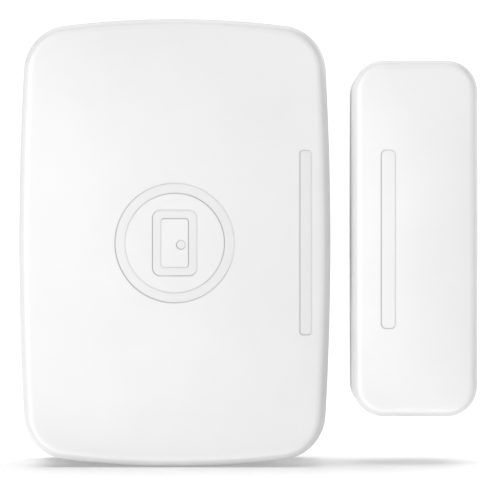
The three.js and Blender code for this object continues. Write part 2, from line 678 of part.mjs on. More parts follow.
function magnetBase() {
  const { inset, bottom, top, tongueTop, tongueWall } = MAGNET_BASE;
  const tongueInset = MAGNET.wall + GAP;
  const plate = solid(prism(outlineShape(MAGNET, inset), bottom, top));
  const tongue = cut(
    solid(prism(outlineShape(MAGNET, tongueInset), top - SINK, tongueTop)),
    solid(prism(outlineShape(MAGNET, tongueInset + tongueWall), top - 1, tongueTop + 1)),
  );
  return geometryOf(cut(joined(plate, tongue, cradle()), ...bothHoles(WALL_SCREW.magnetY, top)));
}

function barMagnet() {
  return prism(rectangle(BAR.width, BAR.height, 0.4, BAR.x, 0), BAR_BOTTOM, BAR_TOP, 3);
}

// Fills the height between the bar and the cover, whose face is lowest at the strip's corners.
function foamStrip() {
  const { width, height, corner } = FOAM_STRIP;
  const ceiling = faceHeight(MAGNET, BAR.x - width / 2, height / 2) - MAGNET.wall;
  return prism(rectangle(width, height, corner, BAR.x, 0), BAR_TOP + TOUCH, ceiling - GAP, 3);
}

function magnetCover() {
  const rim = MAGNET_BASE.top + 0.15;
  return geometryOf(debossed(solid(domeShell(MAGNET, rim)), MAGNET, rim, [line(MAGNET_LINE)]));
}

// ---- The assembly ------------------------------------------------------------------------------------

const wallMount = [
  node("sensor_adhesive_pad", adhesivePad(SENSOR_PAD), FOAM),
  node("sensor_mount_plate", mountPlate(), INNER_PLASTIC),
];

const sensorBody = [
  node("rear_housing", rearHousing(), CASE),
  ...coinCell(),
  ...batteryContacts(),
  node("circuit_board", circuitBoard(), LAMINATE),
  node("board_screw_lower_left", boardScrew(SCREWED[0]), STEEL),
  node("board_screw_upper_right", boardScrew(SCREWED[1]), STEEL),
  node("rf_shield_can", shieldCan(), TIN),
  node("radio_chip", tile(RADIO_CHIP), CHIP),
  node("crystal_can", tile(CRYSTAL), TIN),
  node("motion_sensing_chip", tile(MOTION_CHIP), CHIP),
  node("power_regulator_chip", tile(REGULATOR), CHIP),
  node("bulk_capacitor", tile(CAPACITOR), RESIN),
  node("antenna_strip", antennaStrip(), NICKEL),
  node("status_led", statusLed(), LENS),
  ...reedSwitch(),
  node("tact_switch_body", tactSwitchBody(), CHIP),
  node("tact_switch_plunger", tactSwitchPlunger(), CHIP),
  node("pairing_button", pairingButton(), INNER_PLASTIC),
];

const coverParts = [
  node("front_cover", frontCover(), CASE),
  node("light_pipe", lightPipe(), LENS),
];

const magnetUnit = [
  node("magnet_adhesive_pad", adhesivePad(MAGNET_PAD), FOAM),
  node("magnet_base", magnetBase(), CASE),
  node("bar_magnet", barMagnet(), NICKEL),
  node("magnet_foam_strip", foamStrip(), FOAM),
  node("magnet_cover", magnetCover(), CASE),
];

const contactSensor = new THREE.Group();
contactSensor.rotation.x = Math.PI / 2;
contactSensor.add(group([...wallMount, ...sensorBody, ...coverParts]));
contactSensor.add(group(magnetUnit, MAGNET_PLACE.x, MAGNET_PLACE.y));

const root = new THREE.Group();
root.add(contactSensor);
export default root;
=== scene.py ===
# Door contact sensor: the looks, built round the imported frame.
# Sizes are in millimetres in a panel frame (x right, y up, z out of the wall), and to_row turns them into the
# frame's metres.
import json
import math
import random

import bmesh
import bpy
import numpy as np
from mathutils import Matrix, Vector, noise
from mathutils.geometry import delaunay_2d_cdt


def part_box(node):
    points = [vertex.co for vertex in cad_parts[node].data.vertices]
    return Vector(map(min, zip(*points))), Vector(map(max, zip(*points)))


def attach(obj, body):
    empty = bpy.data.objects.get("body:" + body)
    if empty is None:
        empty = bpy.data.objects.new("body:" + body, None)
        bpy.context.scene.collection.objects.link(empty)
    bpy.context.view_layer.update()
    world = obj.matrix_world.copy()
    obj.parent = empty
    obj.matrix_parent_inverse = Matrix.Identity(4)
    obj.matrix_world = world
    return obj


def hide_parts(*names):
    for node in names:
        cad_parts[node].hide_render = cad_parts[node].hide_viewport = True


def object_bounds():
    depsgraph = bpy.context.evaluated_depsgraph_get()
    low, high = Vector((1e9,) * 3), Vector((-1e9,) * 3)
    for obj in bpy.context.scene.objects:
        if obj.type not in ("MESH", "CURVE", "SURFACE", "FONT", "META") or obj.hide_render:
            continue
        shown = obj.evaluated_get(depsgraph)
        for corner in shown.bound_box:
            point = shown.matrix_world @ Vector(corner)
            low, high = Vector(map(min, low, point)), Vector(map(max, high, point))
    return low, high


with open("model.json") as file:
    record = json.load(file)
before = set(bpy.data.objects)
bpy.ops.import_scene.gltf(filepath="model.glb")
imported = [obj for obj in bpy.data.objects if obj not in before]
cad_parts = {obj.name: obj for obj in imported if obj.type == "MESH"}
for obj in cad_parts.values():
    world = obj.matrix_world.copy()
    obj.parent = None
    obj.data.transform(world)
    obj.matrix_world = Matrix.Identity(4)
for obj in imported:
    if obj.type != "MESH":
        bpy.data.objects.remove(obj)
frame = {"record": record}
cad_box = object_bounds()

MM = 0.001


def to_row(x, y, z):
    return Vector((x * MM, -z * MM, y * MM))


def panel_box(node):
    """Lowest and highest corner of a CAD node in the panel frame, in millimetres."""
    low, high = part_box(node)
    return Vector((low.x, low.z, -high.y)) / MM, Vector((high.x, high.z, -low.y)) / MM


def centre_of(node):
    low, high = panel_box(node)
    return (low + high) / 2


# ---- The cases' forms --------------------------------------------------------------------------------

ARC_STEPS = (24, 16, 16)  # for a side's upper half, a corner and half an end


class Form:
    """A case's outline of eight arcs, and the crown of its face."""

    def __init__(self, cover, side_radius, end_radius, corner, crown, powers, fillet, wall):
        low, high = panel_box(cover)
        self.centre = (low + high) / 2
        self.half_width = (high.x - low.x) / 2
        self.half_height = (high.y - low.y) / 2
        self.front = high.z
        self.rim = low.z
        self.side_radius = side_radius
        self.end_radius = end_radius
        self.corner = corner
        self.crown = crown
        self.powers = powers
        self.fillet = fillet
        self.wall = wall

    def face(self, x, y):
        """Height of the crowned face above the wall."""
        across = 1 - np.minimum(1, np.abs(x / self.half_width)) ** self.powers[0]
        along = 1 - np.minimum(1, np.abs(y / self.half_height)) ** self.powers[1]
        return self.front - self.crown * (1 - across * along)

    def outline(self, inset=0.0):
        """Points of the outline drawn in by an inset, counter-clockwise from the right."""
        a, b = self.half_width, self.half_height
        rs, re, r = self.side_radius, self.end_radius, self.corner
        cx, cy = a - r, b - r
        for _ in range(12):  # closes in on the centre of the corner's arc, which touches both others
            cy = b - re + math.sqrt((re - r) ** 2 - cx**2)
            cx = a - rs + math.sqrt((rs - r) ** 2 - cy**2)
        side = math.atan2(cy, cx - (a - rs))
        end = math.atan2(cy - (b - re), cx)
        arcs = [
            (a - rs, 0, rs - inset, 0, side, ARC_STEPS[0]),
            (cx, cy, r - inset, side, end, ARC_STEPS[1]),
            (0, b - re, re - inset, end, math.pi / 2, ARC_STEPS[2]),
        ]
        quarter = []
        for x, y, radius, start, stop, count in arcs:
            angles = np.linspace(start, stop, count, endpoint=False)
            quarter.extend(zip(x + radius * np.cos(angles), y + radius * np.sin(angles)))
        quarter.append((0, b - inset))
        quarter = np.array(quarter)
        back = quarter[:0:-1]
        ahead = quarter[:-1]
        return np.concatenate([ahead, back * (-1, 1), ahead * (-1, -1), back * (1, -1)])


RIM_EDGE = 0.15  # the rounding of a cover's rim
EDGE_FADE = 0.5  # how far the painted edge shade, a greyer colour, runs on down the side
EDGE_SHADE_DROP = (0.09, 0.2)  # how far below the face that painted shade sets in, and is at its full strength
SENSOR = Form("front_cover", side_radius=349, end_radius=101, corner=5.3, crown=1.9, powers=(2, 3),
              fillet=1.3, wall=1.5)
MAGNET = Form("magnet_cover", side_radius=4000, end_radius=1000, corner=3.55, crown=0.9, powers=(2, 4),
              fillet=1.1, wall=1.3)

# ---- Marks sunk into the faces -----------------------------------------------------------------------

MARK_DEPTH = 0.08
MARK_EDGE = 0.05  # half the width of the rounded step at a mark's edge
CREASE = 0.06  # how far the painted shade at a mark's edge reaches
SUNK_FLOOR_SHADE = 0.07  # how much of that painted shade a mark's sunk floor has
EMBLEM = (0.09, -0.06)  # its middle
CORNER_POINTS = 7  # on each round corner of a panel


class Disc:
    def __init__(self, radius, x=0.0, y=0.0):
        self.radius = radius
        self.x = x
        self.y = y

    def distance(self, x, y):
        return np.hypot(x - self.x, y - self.y) - self.radius

    def loop(self, grow):
        count = max(40, int(self.radius * 26))
        angles = np.linspace(0, 2 * math.pi, count, endpoint=False)
        reach = self.radius + grow
        return np.stack([self.x + reach * np.cos(angles), self.y + reach * np.sin(angles)], axis=1)


class Panel:
    """A rectangle with round corners."""

    def __init__(self, width, height, corner, x=0.0, y=0.0):
        self.half = (width / 2, height / 2)
        self.corner = corner
        self.x = x
        self.y = y

    def distance(self, x, y):
        dx = np.abs(x - self.x) - self.half[0] + self.corner
        dy = np.abs(y - self.y) - self.half[1] + self.corner
        outside = np.hypot(np.maximum(dx, 0), np.maximum(dy, 0))
        return outside + np.minimum(np.maximum(dx, dy), 0) - self.corner

    def loop(self, grow, spacing=0.5):
        radius = self.corner + grow
        points = []
        for turn, (sx, sy) in enumerate(((1, 1), (-1, 1), (-1, -1), (1, -1))):
            cx = self.x + sx * (self.half[0] - self.corner)
            cy = self.y + sy * (self.half[1] - self.corner)
            for angle in np.linspace(turn, turn + 1, CORNER_POINTS) * math.pi / 2:
                points.append((cx + radius * math.cos(angle), cy + radius * math.sin(angle)))
        return resampled(np.array(points), spacing)


def resampled(loop, spacing):
    """A closed loop with its long stretches divided."""
    points = []
    for here, there in zip(loop, np.roll(loop, -1, axis=0)):
        count = max(1, round(np.linalg.norm(there - here) / spacing))
        points.extend(here + (there - here) * k / count for k in range(count))
    return np.array(points)


class Mark:
    """An outer shape with an optional hole."""

    def __init__(self, outer, inner=None):
        self.outer = outer
        self.inner = inner

    def distance(self, x, y):
        away = self.outer.distance(x, y)
        return away if self.inner is None else np.maximum(away, -self.inner.distance(x, y))

    def loops(self):
        for grow in MARK_EDGE * np.array((-4, -2, -1, -0.5, 0, 0.5, 1, 2, 4)):
            yield self.outer.loop(grow)
            if self.inner is not None:
                yield self.inner.loop(-grow)


RING = Mark(Disc(6.73, *EMBLEM), Disc(5.61, *EMBLEM))
DOOR = Mark(Panel(5, 7.4, 0.9, *EMBLEM), Panel(3.1, 5.5, 0.35, *EMBLEM))
KNOB = Mark(Disc(0.5, EMBLEM[0] + 0.7, EMBLEM[1] - 0.2))
SENSOR_LINE = Mark(Panel(1.3, 20.9, 0.35, x=14.87))
MAGNET_LINE = Mark(Panel(1.6, 20.35, 0.55, x=-3.18, y=-0.1))
SENSOR_MARKS = [RING, DOOR, KNOB, SENSOR_LINE]
MAGNET_MARKS = [MAGNET_LINE]


def marked_face(form, marks, x, y):
    """Height of a face with its marks sunk in."""
    height = form.face(x, y)
    for mark in marks:
        depth = np.clip((MARK_EDGE - mark.distance(x, y)) / (2 * MARK_EDGE), 0, 1)
        height = height - MARK_DEPTH * depth * depth * (3 - 2 * depth)
    return height


# ---- Mesh helpers ------------------------------------------------------------------------------------


def new_object(name, data):
    made = bpy.data.objects.new(name, data)
    bpy.context.scene.collection.objects.link(made)
    return made


def mesh_of(bm, name="shape"):
    mesh = bpy.data.meshes.new(name)
    bm.to_mesh(mesh)
    bm.free()
    return mesh


def named(obj, name):
    obj.name = name
    obj.data.name = name
    return obj


def object_of(bm, centre=(0, 0), merge=0.001):
    """An object from a bmesh drawn in the panel frame about a centre."""
    bmesh.ops.remove_doubles(bm, verts=bm.verts, dist=merge)
    bmesh.ops.recalc_face_normals(bm, faces=bm.faces)
    for vertex in bm.verts:
        x, y, z = vertex.co
        vertex.co = to_row(x + centre[0], y + centre[1], z)
    return new_object("shape", mesh_of(bm))


def add_patch(bm, loop, height, spacing, inner_loops=(), clear=None):
    """Fills a closed loop with triangles that follow height(x, y)."""
    loops = [loop, *inner_loops]
    points = [tuple(p) for one in loops for p in one]
    edges = []
    start = 0
    for one in loops:
        count = len(one)
        edges.extend((start + i, start + (i + 1) % count) for i in range(count))
        start += count
    low, high = loop.min(axis=0), loop.max(axis=0)
    xs = np.arange(low[0] + spacing / 2, high[0], spacing)
    ys = np.arange(low[1] + spacing / 2, high[1], spacing)
    grid = np.array(np.meshgrid(xs, ys)).reshape(2, -1).T
    keep = inside(loop, grid, spacing * 0.45)
    if clear is not None:
        keep &= clear(grid[:, 0], grid[:, 1])
    points.extend(tuple(p) for p in grid[keep])
    flat = [Vector(p) for p in points]
    found, _, faces, *_ = delaunay_2d_cdt(flat, edges, [], 1, 1e-7)
    places = np.array([tuple(p) for p in found])
    heights = height(places[:, 0], places[:, 1])
    verts = [bm.verts.new((x, y, z)) for (x, y), z in zip(places, heights)]
    for face in faces:
        bm.faces.new([verts[i] for i in face])


def inside(loop, points, margin):
    """Which points lie inside a convex counter-clockwise loop by a margin."""
    keep = np.ones(len(points), bool)
    for here, there in zip(loop, np.roll(loop, -1, axis=0)):
        along = (there - here) / np.linalg.norm(there - here)
        offset = points - here
        keep &= along[0] * offset[:, 1] - along[1] * offset[:, 0] > margin
    return keep


UPRIGHT = math.pi / 2  # a rounded edge's normal points up here
LEVEL = 0  # and sideways here


def quarter_round(radius, start, stop, count):
    """Inset and drop of points along a rounded edge, as its normal turns from start to stop."""
    turns = np.linspace(start, stop, count)
    return [(radius * (1 - math.cos(t)), radius * (1 - math.sin(t))) for t in turns]


def add_bands(bm, rings):
    """Joins successive loops of equally many points with quads, and returns the loops' vertices."""
    rows = [[bm.verts.new(point) for point in ring] for ring in rings]
    for lower, upper in zip(rows, rows[1:]):
        count = len(lower)
        for i in range(count):
            j = (i + 1) % count
            bm.faces.new((lower[i], lower[j], upper[j], upper[i]))
    return rows


def add_solid(bm, rings):
    """Joins loops as add_bands does, and closes both ends."""
    rows = add_bands(bm, rings)
    bm.faces.new(rows[0][::-1])
    bm.faces.new(rows[-1])


def smooth(obj, angle=35):
    obj.data.shade_smooth()
    obj.data.set_sharp_from_angle(angle=math.radians(angle))


def applied(obj):
    """Replaces a shape's mesh by what its modifiers make of it."""
    graph = bpy.context.evaluated_depsgraph_get()
    mesh = bpy.data.meshes.new_from_object(obj.evaluated_get(graph))
    obj.modifiers.clear()
    obj.data = mesh


def combine(obj, tools, operation):
    """Joins or cuts with closed tools, and removes them."""
    for tool in tools:
        modifier = obj.modifiers.new("combine", "BOOLEAN")
        modifier.operation = operation
        modifier.solver = "MANIFOLD"
        modifier.object = tool
    applied(obj)
    for tool in tools:
        bpy.data.objects.remove(tool)


def turned(profile, x, y, segments=96, axis="z", z=0.0):
    """A closed profile of (radius, height) points turned about an axis through x, y."""
    bm = bmesh.new()
    angles = np.linspace(0, 2 * math.pi, segments, endpoint=False)
    rings = []
    for radius, height in profile:
        if axis == "z":
            ring = [(radius * math.cos(t), radius * math.sin(t), height) for t in angles]
        else:
            ring = [(radius * math.cos(t), height, z - radius * math.sin(t)) for t in angles]
        rings.append(ring)
    if profile[0][0] > 0:
        rings.append(rings[0])
    add_bands(bm, rings)
    return object_of(bm, (x, y), merge=0.0004)


def cylinder(radius, z0, z1, x, y, segments=64):
    return turned([(0, z0), (radius, z0), (radius, z1), (0, z1)], x, y, segments)


# ---- Materials ---------------------------------------------------------------------------------------


class Surface:
    """A Principled material whose pattern is worked out by nodes from the piece's own coordinates."""

    def __init__(self, name, roughness=0.5, metallic=0.0, **sockets):
        self.material = bpy.data.materials.new(name)
        self.material.use_nodes = True
        self.nodes = self.material.node_tree.nodes
        self.links = self.material.node_tree.links
        self.shader = self.nodes["Principled BSDF"]
        self.shader.inputs["Roughness"].default_value = roughness
        self.shader.inputs["Metallic"].default_value = metallic
        for socket, value in sockets.items():
            self.shader.inputs[socket.replace("_", " ")].default_value = value
        self.place = self.nodes.new("ShaderNodeTexCoord").outputs["Object"]

    def add(self, kind, output, **inputs):
        """Adds a node and returns one of its outputs. Inputs are numbers or other nodes' outputs."""
        node = self.nodes.new(kind)
        for name, value in inputs.items():
            self.feed(node.inputs[name.replace("_", " ")], value)
        return node.outputs[output]

    def feed(self, socket, value):
        """Links a node's output to a socket, or sets the socket to a plain value."""
        if isinstance(value, bpy.types.NodeSocket):
            self.links.new(value, socket)
        else:
            socket.default_value = value

    def noise(self, size, detail=3.0, place=None):
        """Cloudy noise whose features are about size millimetres across."""
        return self.add("ShaderNodeTexNoise", "Fac", Vector=place or self.place, Scale=1 / (size * MM),
                        Detail=detail, Roughness=0.55)

    def cells(self, size):
        return self.add("ShaderNodeTexVoronoi", "Distance", Vector=self.place, Scale=1 / (size * MM))

    def stretched(self, scale):
        """The piece's coordinates drawn out along an axis, for brushed metal."""
        return self.add("ShaderNodeMapping", "Vector", Vector=self.place, Scale=scale)

    def math(self, operation, a, b=0.0):
        node = self.nodes.new("ShaderNodeMath")
        node.operation = operation
        for socket, value in zip(node.inputs, (a, b)):
            self.feed(socket, value)
        return node.outputs["Value"]

    def spread(self, factor, low, high, start=0.3, stop=0.7):
        """Maps a factor to a range of numbers."""
        return self.add("ShaderNodeMapRange", "Result", Value=factor, From_Min=start, From_Max=stop,
                        To_Min=low, To_Max=high)

    def mixed(self, factor, low, high):
        """Mixes two colours, each a tuple or another output."""
        node = self.nodes.new("ShaderNodeMix")
        node.data_type = "RGBA"
        for index, value in ((0, factor), (6, low), (7, high)):  # the node's sockets for mixing colours
            self.feed(node.inputs[index], (*value, 1) if isinstance(value, tuple) else value)
        return node.outputs[2]

    def set(self, socket, output):
        self.links.new(output, self.shader.inputs[socket])

    def attribute(self, name):
        """A number kept at each point of the mesh."""
        made = self.add("ShaderNodeAttribute", "Fac")
        made.node.attribute_name = name
        return made

    def bump(self, height, depth, strength=1.0):
        """Bumps the surface by a height from 0 to 1 over a depth in millimetres."""
        self.set("Normal", self.add("ShaderNodeBump", "Normal", Height=height, Distance=depth * MM,
                                    Strength=strength))


def grained(name, size, low, high, roughness, depth=0.0, cloud=None, **sockets):
    """A fine grain, and a colour that drifts with it or with a cloud of a given size and detail."""
    made = Surface(name, **sockets)
    grain = made.noise(size)
    drift = made.noise(*cloud) if cloud else grain
    made.set("Base Color", made.mixed(made.spread(drift, 0, 1), low, high))
    made.set("Roughness", made.spread(grain, *roughness))
    if depth:
        made.bump(grain, depth)
    return made.material


def moulded_case():
    """Satin white moulding, finely spark-eroded; its rounded edges get a greyer painted shade and are a
    little smoother from handling, and the marks get a darker painted shade.
    """
    made = Surface("case_plastic", roughness=0.5, IOR=1.46)
    rim = made.attribute("rim")
    crease_shade = made.attribute("crease_shade")
    cloud = made.spread(made.noise(9, detail=2), 0, 1)
    grain = made.noise(0.16, detail=2)
    # edge is painted shade: the rounded edge a little greyer than the face
    face = made.mixed(cloud, (0.755,) * 3, (0.775,) * 3)
    edge = made.mixed(cloud, (0.63,) * 3, (0.65,) * 3)
    # The outer mix paints shade into the marks' edges and, weaker, over their sunk floors
    made.set("Base Color", made.mixed(crease_shade, made.mixed(rim, face, edge), (0.45,) * 3))
    satin = made.spread(grain, 0.48, 0.56)
    made.set("Roughness", made.math("SUBTRACT", satin, made.math("MULTIPLY", rim, 0.06)))
    made.bump(grain, 0.0016)
    return made.material


def moulded_inner():
    """Matt off-white moulding."""
    return grained("inner_plastic", 0.2, (0.7, 0.7, 0.685), (0.74, 0.74, 0.725), (0.55, 0.66), 0.004,
                   cloud=(6, 2), IOR=1.46)


CASE = moulded_case()
INNER = moulded_inner()


def paint(obj, material):
    obj.data.materials.clear()
    obj.data.materials.append(material)
    return obj


# ---- The covers --------------------------------------------------------------------------------------


def shell(form, marks):
    """A case's cover, open towards the wall: its marked face, rounded edge, side, rim and inside."""
    bm = bmesh.new()
    flat = form.outline(form.fillet)
    loops = [loop for mark in marks for loop in mark.loops()]

    def clear(x, y):
        return np.min([np.abs(mark.distance(x, y)) for mark in marks], axis=0) > 7 * MARK_EDGE

    add_patch(bm, flat, lambda x, y: marked_face(form, marks, x, y), 0.8, loops, clear)
    rings = []
    for inset, drop in quarter_round(form.fillet, UPRIGHT, LEVEL, 13):
        rings.append([(x, y, form.face(x, y) - drop) for x, y in form.outline(inset)])
    rings.append([(x, y, form.face(x, y) - form.fillet - EDGE_FADE) for x, y in form.outline()])
    for inset, rise in quarter_round(RIM_EDGE, LEVEL, UPRIGHT, 4):
        rings.append([(x, y, form.rim + rise) for x, y in form.outline(inset)])
    for inset, rise in quarter_round(RIM_EDGE, UPRIGHT, LEVEL, 4):
        rings.append([(x, y, form.rim + rise) for x, y in form.outline(form.wall - inset)])
    inner = form.fillet / 2
    for inset, drop in quarter_round(inner, LEVEL, UPRIGHT, 6):
        loop = form.outline(form.wall + inset)
        rings.append([(x, y, form.face(x, y) - form.wall - drop) for x, y in loop])
    add_bands(bm, rings)
    ceiling = form.outline(form.wall + inner)
    add_patch(bm, ceiling, lambda x, y: form.face(x, y) - form.wall, 1.5)
    return object_of(bm, form.centre, merge=0.002)


def finish_cover(obj, form, marks):
    """Gives the face its exact normals, and each point its share of the painted edge shade and of the painted
    shade at the marks.
    """
    smooth(obj)
    mesh = obj.data
    co = np.zeros(len(mesh.vertices) * 3)
    mesh.vertices.foreach_get("co", co)
    co = co.reshape(-1, 3) / MM
    x, y, z = co[:, 0] - form.centre.x, co[:, 2] - form.centre.y, -co[:, 1]
    tolerance, step = 0.003, 0.002
    on_face = np.abs(z - marked_face(form, marks, x, y)) < tolerance
    slope_x = marked_face(form, marks, x + step, y) - marked_face(form, marks, x - step, y)
    slope_y = marked_face(form, marks, x, y + step) - marked_face(form, marks, x, y - step)
    normals = np.stack([-slope_x, np.full(len(x), -2 * step), -slope_y], axis=1)
    normals /= np.linalg.norm(normals, axis=1)[:, None]
    normals[~on_face] = 0
    mesh.normals_split_custom_set_from_vertices(normals.tolist())
    # rim is painted shade on the rounded edge, fading out down the side, and zero on the face
    drop = form.face(x, y) - z
    faded = np.clip(1 - (drop - form.fillet) / EDGE_FADE, 0, 1)
    rim = np.where(on_face, 0, np.clip((drop - EDGE_SHADE_DROP[0]) / (EDGE_SHADE_DROP[1] - EDGE_SHADE_DROP[0]), 0, 1) * faded)
    # Painted shade along the marks' edges, and a weaker painted shade over their sunk floors
    away = np.min([mark.distance(x, y) for mark in marks], axis=0)
    crease_shade = np.where(on_face, np.maximum(np.exp(-((away / CREASE) ** 2)), SUNK_FLOOR_SHADE * (away < 0)), 0)
    for name, values in (("rim", rim), ("crease_shade", crease_shade)):
        attribute = mesh.attributes.new(name, "FLOAT", "POINT")
        attribute.data.foreach_set("value", values.astype(np.float32))


def cover(name, node, body, form, marks, tools=()):
    made = named(shell(form, marks), name)
    for operation, pieces in tools:
        combine(made, pieces, operation)
    paint(made, CASE)
    finish_cover(made, form, marks)
    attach(made, body)
    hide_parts(node)
    return made


def board_pins():
    """Four pins inside the front cover that hold the board down."""
    places = [(-13.2, 10), (-13.2, -10), (10.4, 13), (10.4, -13)]
    foot = panel_box("circuit_board")[1].z + 0.15
    return [cylinder(0.8, foot, float(SENSOR.face(x, y)) - SENSOR.wall / 2, x, y, 32) for x, y in places]


def pipe_bore():
    """The hole for the light pipe in the front cover's lower side."""
    radius, edge = 0.8, -SENSOR.half_height
    bore = [(0, edge - 1), (radius, edge - 1), (radius, edge + 2), (0, edge + 2)]
    return turned(bore, 0, 0, 48, axis="y", z=centre_of("light_pipe").z)


FRONT_TOOLS = (("UNION", board_pins()), ("DIFFERENCE", [pipe_bore()]))
sensor_cover = cover("front_cover_shell", "front_cover", "cover", SENSOR, SENSOR_MARKS, FRONT_TOOLS)
cover("magnet_cover_shell", "magnet_cover", "magnet_lid", MAGNET, MAGNET_MARKS)

# ---- The other mouldings' and metals' materials ------------------------------------------------------


def foam_tape():
    """Closed-cell foam, with painted shade in the pits of its cut cells."""
    made = Surface("foam_tape", roughness=0.92)
    cells = made.cells(0.28)
    cloud = made.noise(2.5, detail=4)
    skin = made.mixed(made.spread(cloud, 0, 1), (0.085, 0.09, 0.095), (0.12, 0.125, 0.13))
    made.set("Base Color", made.mixed(made.spread(cells, 0, 1, 0.1, 0.6), (0.045, 0.047, 0.05), skin))
    made.bump(made.spread(cells, 0, 1, 0.0, 0.5), 0.05, 0.7)
    return made.material


def rolled_metal(name, tint, size, roughness, along=(1, 1, 1), stain=0.1):
    """Plated sheet metal with fine drawn-out grain and faint stains."""
    made = Surface(name, metallic=1.0)
    grain = made.noise(size, detail=3, place=made.stretched(along))
    cloud = made.noise(3, detail=4)
    dull = tuple(level * (1 - stain) for level in tint)
    made.set("Base Color", made.mixed(made.spread(cloud, 0, 1), dull, tint))
    wear = made.math("MULTIPLY", cloud, grain)
    made.set("Roughness", made.spread(wear, roughness * 0.75, roughness * 1.3, 0.1, 0.4))
    made.bump(grain, 0.0015)
    return made.material


def turned_steel():
    """The cell's case: bright steel, brushed in rings about its axis, with scuffs from handling."""
    made = Surface("cell_steel", metallic=1.0)
    split = made.add("ShaderNodeSeparateXYZ", "X", Vector=made.place)
    across = made.math("SUBTRACT", split, CELL_CENTRE.x * MM)
    along = made.math("SUBTRACT", split.node.outputs["Z"], CELL_CENTRE.y * MM)
    radius = made.math("SQRT", made.math("ADD", made.math("POWER", across, 2), made.math("POWER", along, 2)))
    rings = made.add("ShaderNodeTexNoise", "Fac", Vector=made.add("ShaderNodeCombineXYZ", "Vector", X=radius),
                     Scale=9000, Detail=3)
    scuffs = made.noise(0.5, detail=5, place=made.stretched((0.15, 1, 1)))
    cloud = made.noise(5)
    made.set("Base Color", made.mixed(made.spread(cloud, 0, 1), (0.52, 0.52, 0.515), (0.62, 0.62, 0.615)))
    made.set("Roughness", made.spread(made.math("MULTIPLY", rings, scuffs), 0.2, 0.36, 0.1, 0.4))
    made.bump(rings, 0.0015)
    return made.material


def moulded_dark():
    """Black moulding compound with a fine sand-like grain."""
    return grained("dark_epoxy", 0.06, (0.0176,) * 3, (0.0286,) * 3, (0.5, 0.66), 0.004, cloud=(1.4, 3))


def seal_polymer():
    """Grey gasket rubber."""
    return grained("seal_polymer", 0.12, (0.1, 0.11, 0.125), (0.13, 0.14, 0.155), (0.45, 0.6), 0.003)


def solder_mask(name="board_laminate", low=(0.008, 0.11, 0.045), high=(0.012, 0.145, 0.06)):
    """Green solder mask over a faint glass weave."""
    made = Surface(name, Coat_Weight=0.4, Coat_Roughness=0.12)
    wave = made.add("ShaderNodeTexWave", "Fac", Vector=made.place, Scale=700.0, Distortion=1.5, Detail=2.0)
    cloud = made.noise(4)
    made.set("Base Color", made.mixed(made.spread(cloud, 0, 1), low, high))
    made.set("Roughness", made.spread(cloud, 0.32, 0.45))
    made.bump(made.math("ADD", wave, made.noise(0.3)), 0.002)
    return made.material


def tantalum_resin():
    """Ochre moulding resin."""
    return grained("capacitor_resin", 0.1, (0.5, 0.24, 0.035), (0.6, 0.3, 0.05), (0.42, 0.55), 0.003)


def clear_moulding(name, tint, roughness):
    """A clear moulding or drawn glass with faint flow marks."""
    made = Surface(name, roughness=roughness, Transmission_Weight=1.0, IOR=1.5)
    flow = made.noise(1.5, detail=2)
    made.set("Base Color", made.mixed(flow, tuple(level * 0.97 for level in tint), tint))
    made.bump(flow, 0.01)
    return made.material


def printed_white():
    """Screen-printed ink, uneven where it has sunk in."""
    return grained("board_print", 0.1, (0.62, 0.63, 0.6), (0.74, 0.75, 0.72), (0.5, 0.7))


def ceramic(name, low, high):
    """Fired ceramic with a fine speckle."""
    return grained(name, 0.08, low, high, (0.35, 0.5), 0.002)


CELL_CENTRE = centre_of("coin_cell_positive_can")
FINISH = {
    "case_plastic": CASE,
    "inner_plastic": INNER,
    "foam_tape": foam_tape(),
    "cell_steel": turned_steel(),
    "seal_polymer": seal_polymer(),
    "dark_epoxy": moulded_dark(),
    "nickel_plate": rolled_metal("nickel_plate", (0.56, 0.54, 0.5), 0.12, 0.3, (1, 1, 0.1)),
    "board_laminate": solder_mask(),
    "screw_steel": rolled_metal("screw_steel", (0.6, 0.61, 0.62), 0.1, 0.3),
    "tin_plate": rolled_metal("tin_plate", (0.62, 0.6, 0.56), 0.2, 0.4, (0.1, 1, 1)),
    "capacitor_resin": tantalum_resin(),
    "clear_lens": clear_moulding("clear_lens", (0.96, 0.97, 0.98), 0.08),
    "reed_glass": clear_moulding("reed_glass", (0.78, 0.9, 0.84), 0.02),
    "magnet_plate": rolled_metal("magnet_plate", (0.6, 0.59, 0.57), 0.5, 0.2, stain=0.16),
}
MASKED_COPPER = solder_mask("masked_copper", (0.014, 0.19, 0.075), (0.02, 0.22, 0.09))
SOLDER = rolled_metal("solder", (0.66, 0.66, 0.65), 0.15, 0.28, stain=0.2)
GOLD = rolled_metal("gold_plate", (0.83, 0.62, 0.27), 0.15, 0.25)
PRINT = printed_white()
CHIP_RESISTOR = ceramic("chip_resistor", (0.02, 0.02, 0.022), (0.035, 0.035, 0.037))
CHIP_CAPACITOR = ceramic("chip_capacitor", (0.33, 0.24, 0.15), (0.4, 0.29, 0.19))

# ---- Shapes for the other pieces ---------------------------------------------------------------------

BODY_OF = {node: body for body, nodes in frame["record"]["behaviour"]["bodies"].items() for node in nodes}
SLOT_OF = {part["node"]: part["material_slot"] for part in frame["record"]["subparts"]}


def rounded(points, reach, closed=False, steps=4):
    """A line of points with each corner rounded, starting at most reach from it."""
    points = [np.array(p, float) for p in points]
    made = []
    for i, corner in enumerate(points):
        if not closed and i in (0, len(points) - 1):
            made.append(tuple(corner))
            continue
        before = points[i - 1] - corner
        after = points[(i + 1) % len(points)] - corner
        start = min(reach, 0.45 * np.linalg.norm(before), 0.45 * np.linalg.norm(after))
        first = corner + before / np.linalg.norm(before) * start
        last = corner + after / np.linalg.norm(after) * start
        for s in np.linspace(0, 1, steps + 1):
            made.append(tuple((1 - s) ** 2 * first + 2 * s * (1 - s) * corner + s * s * last))
    return made


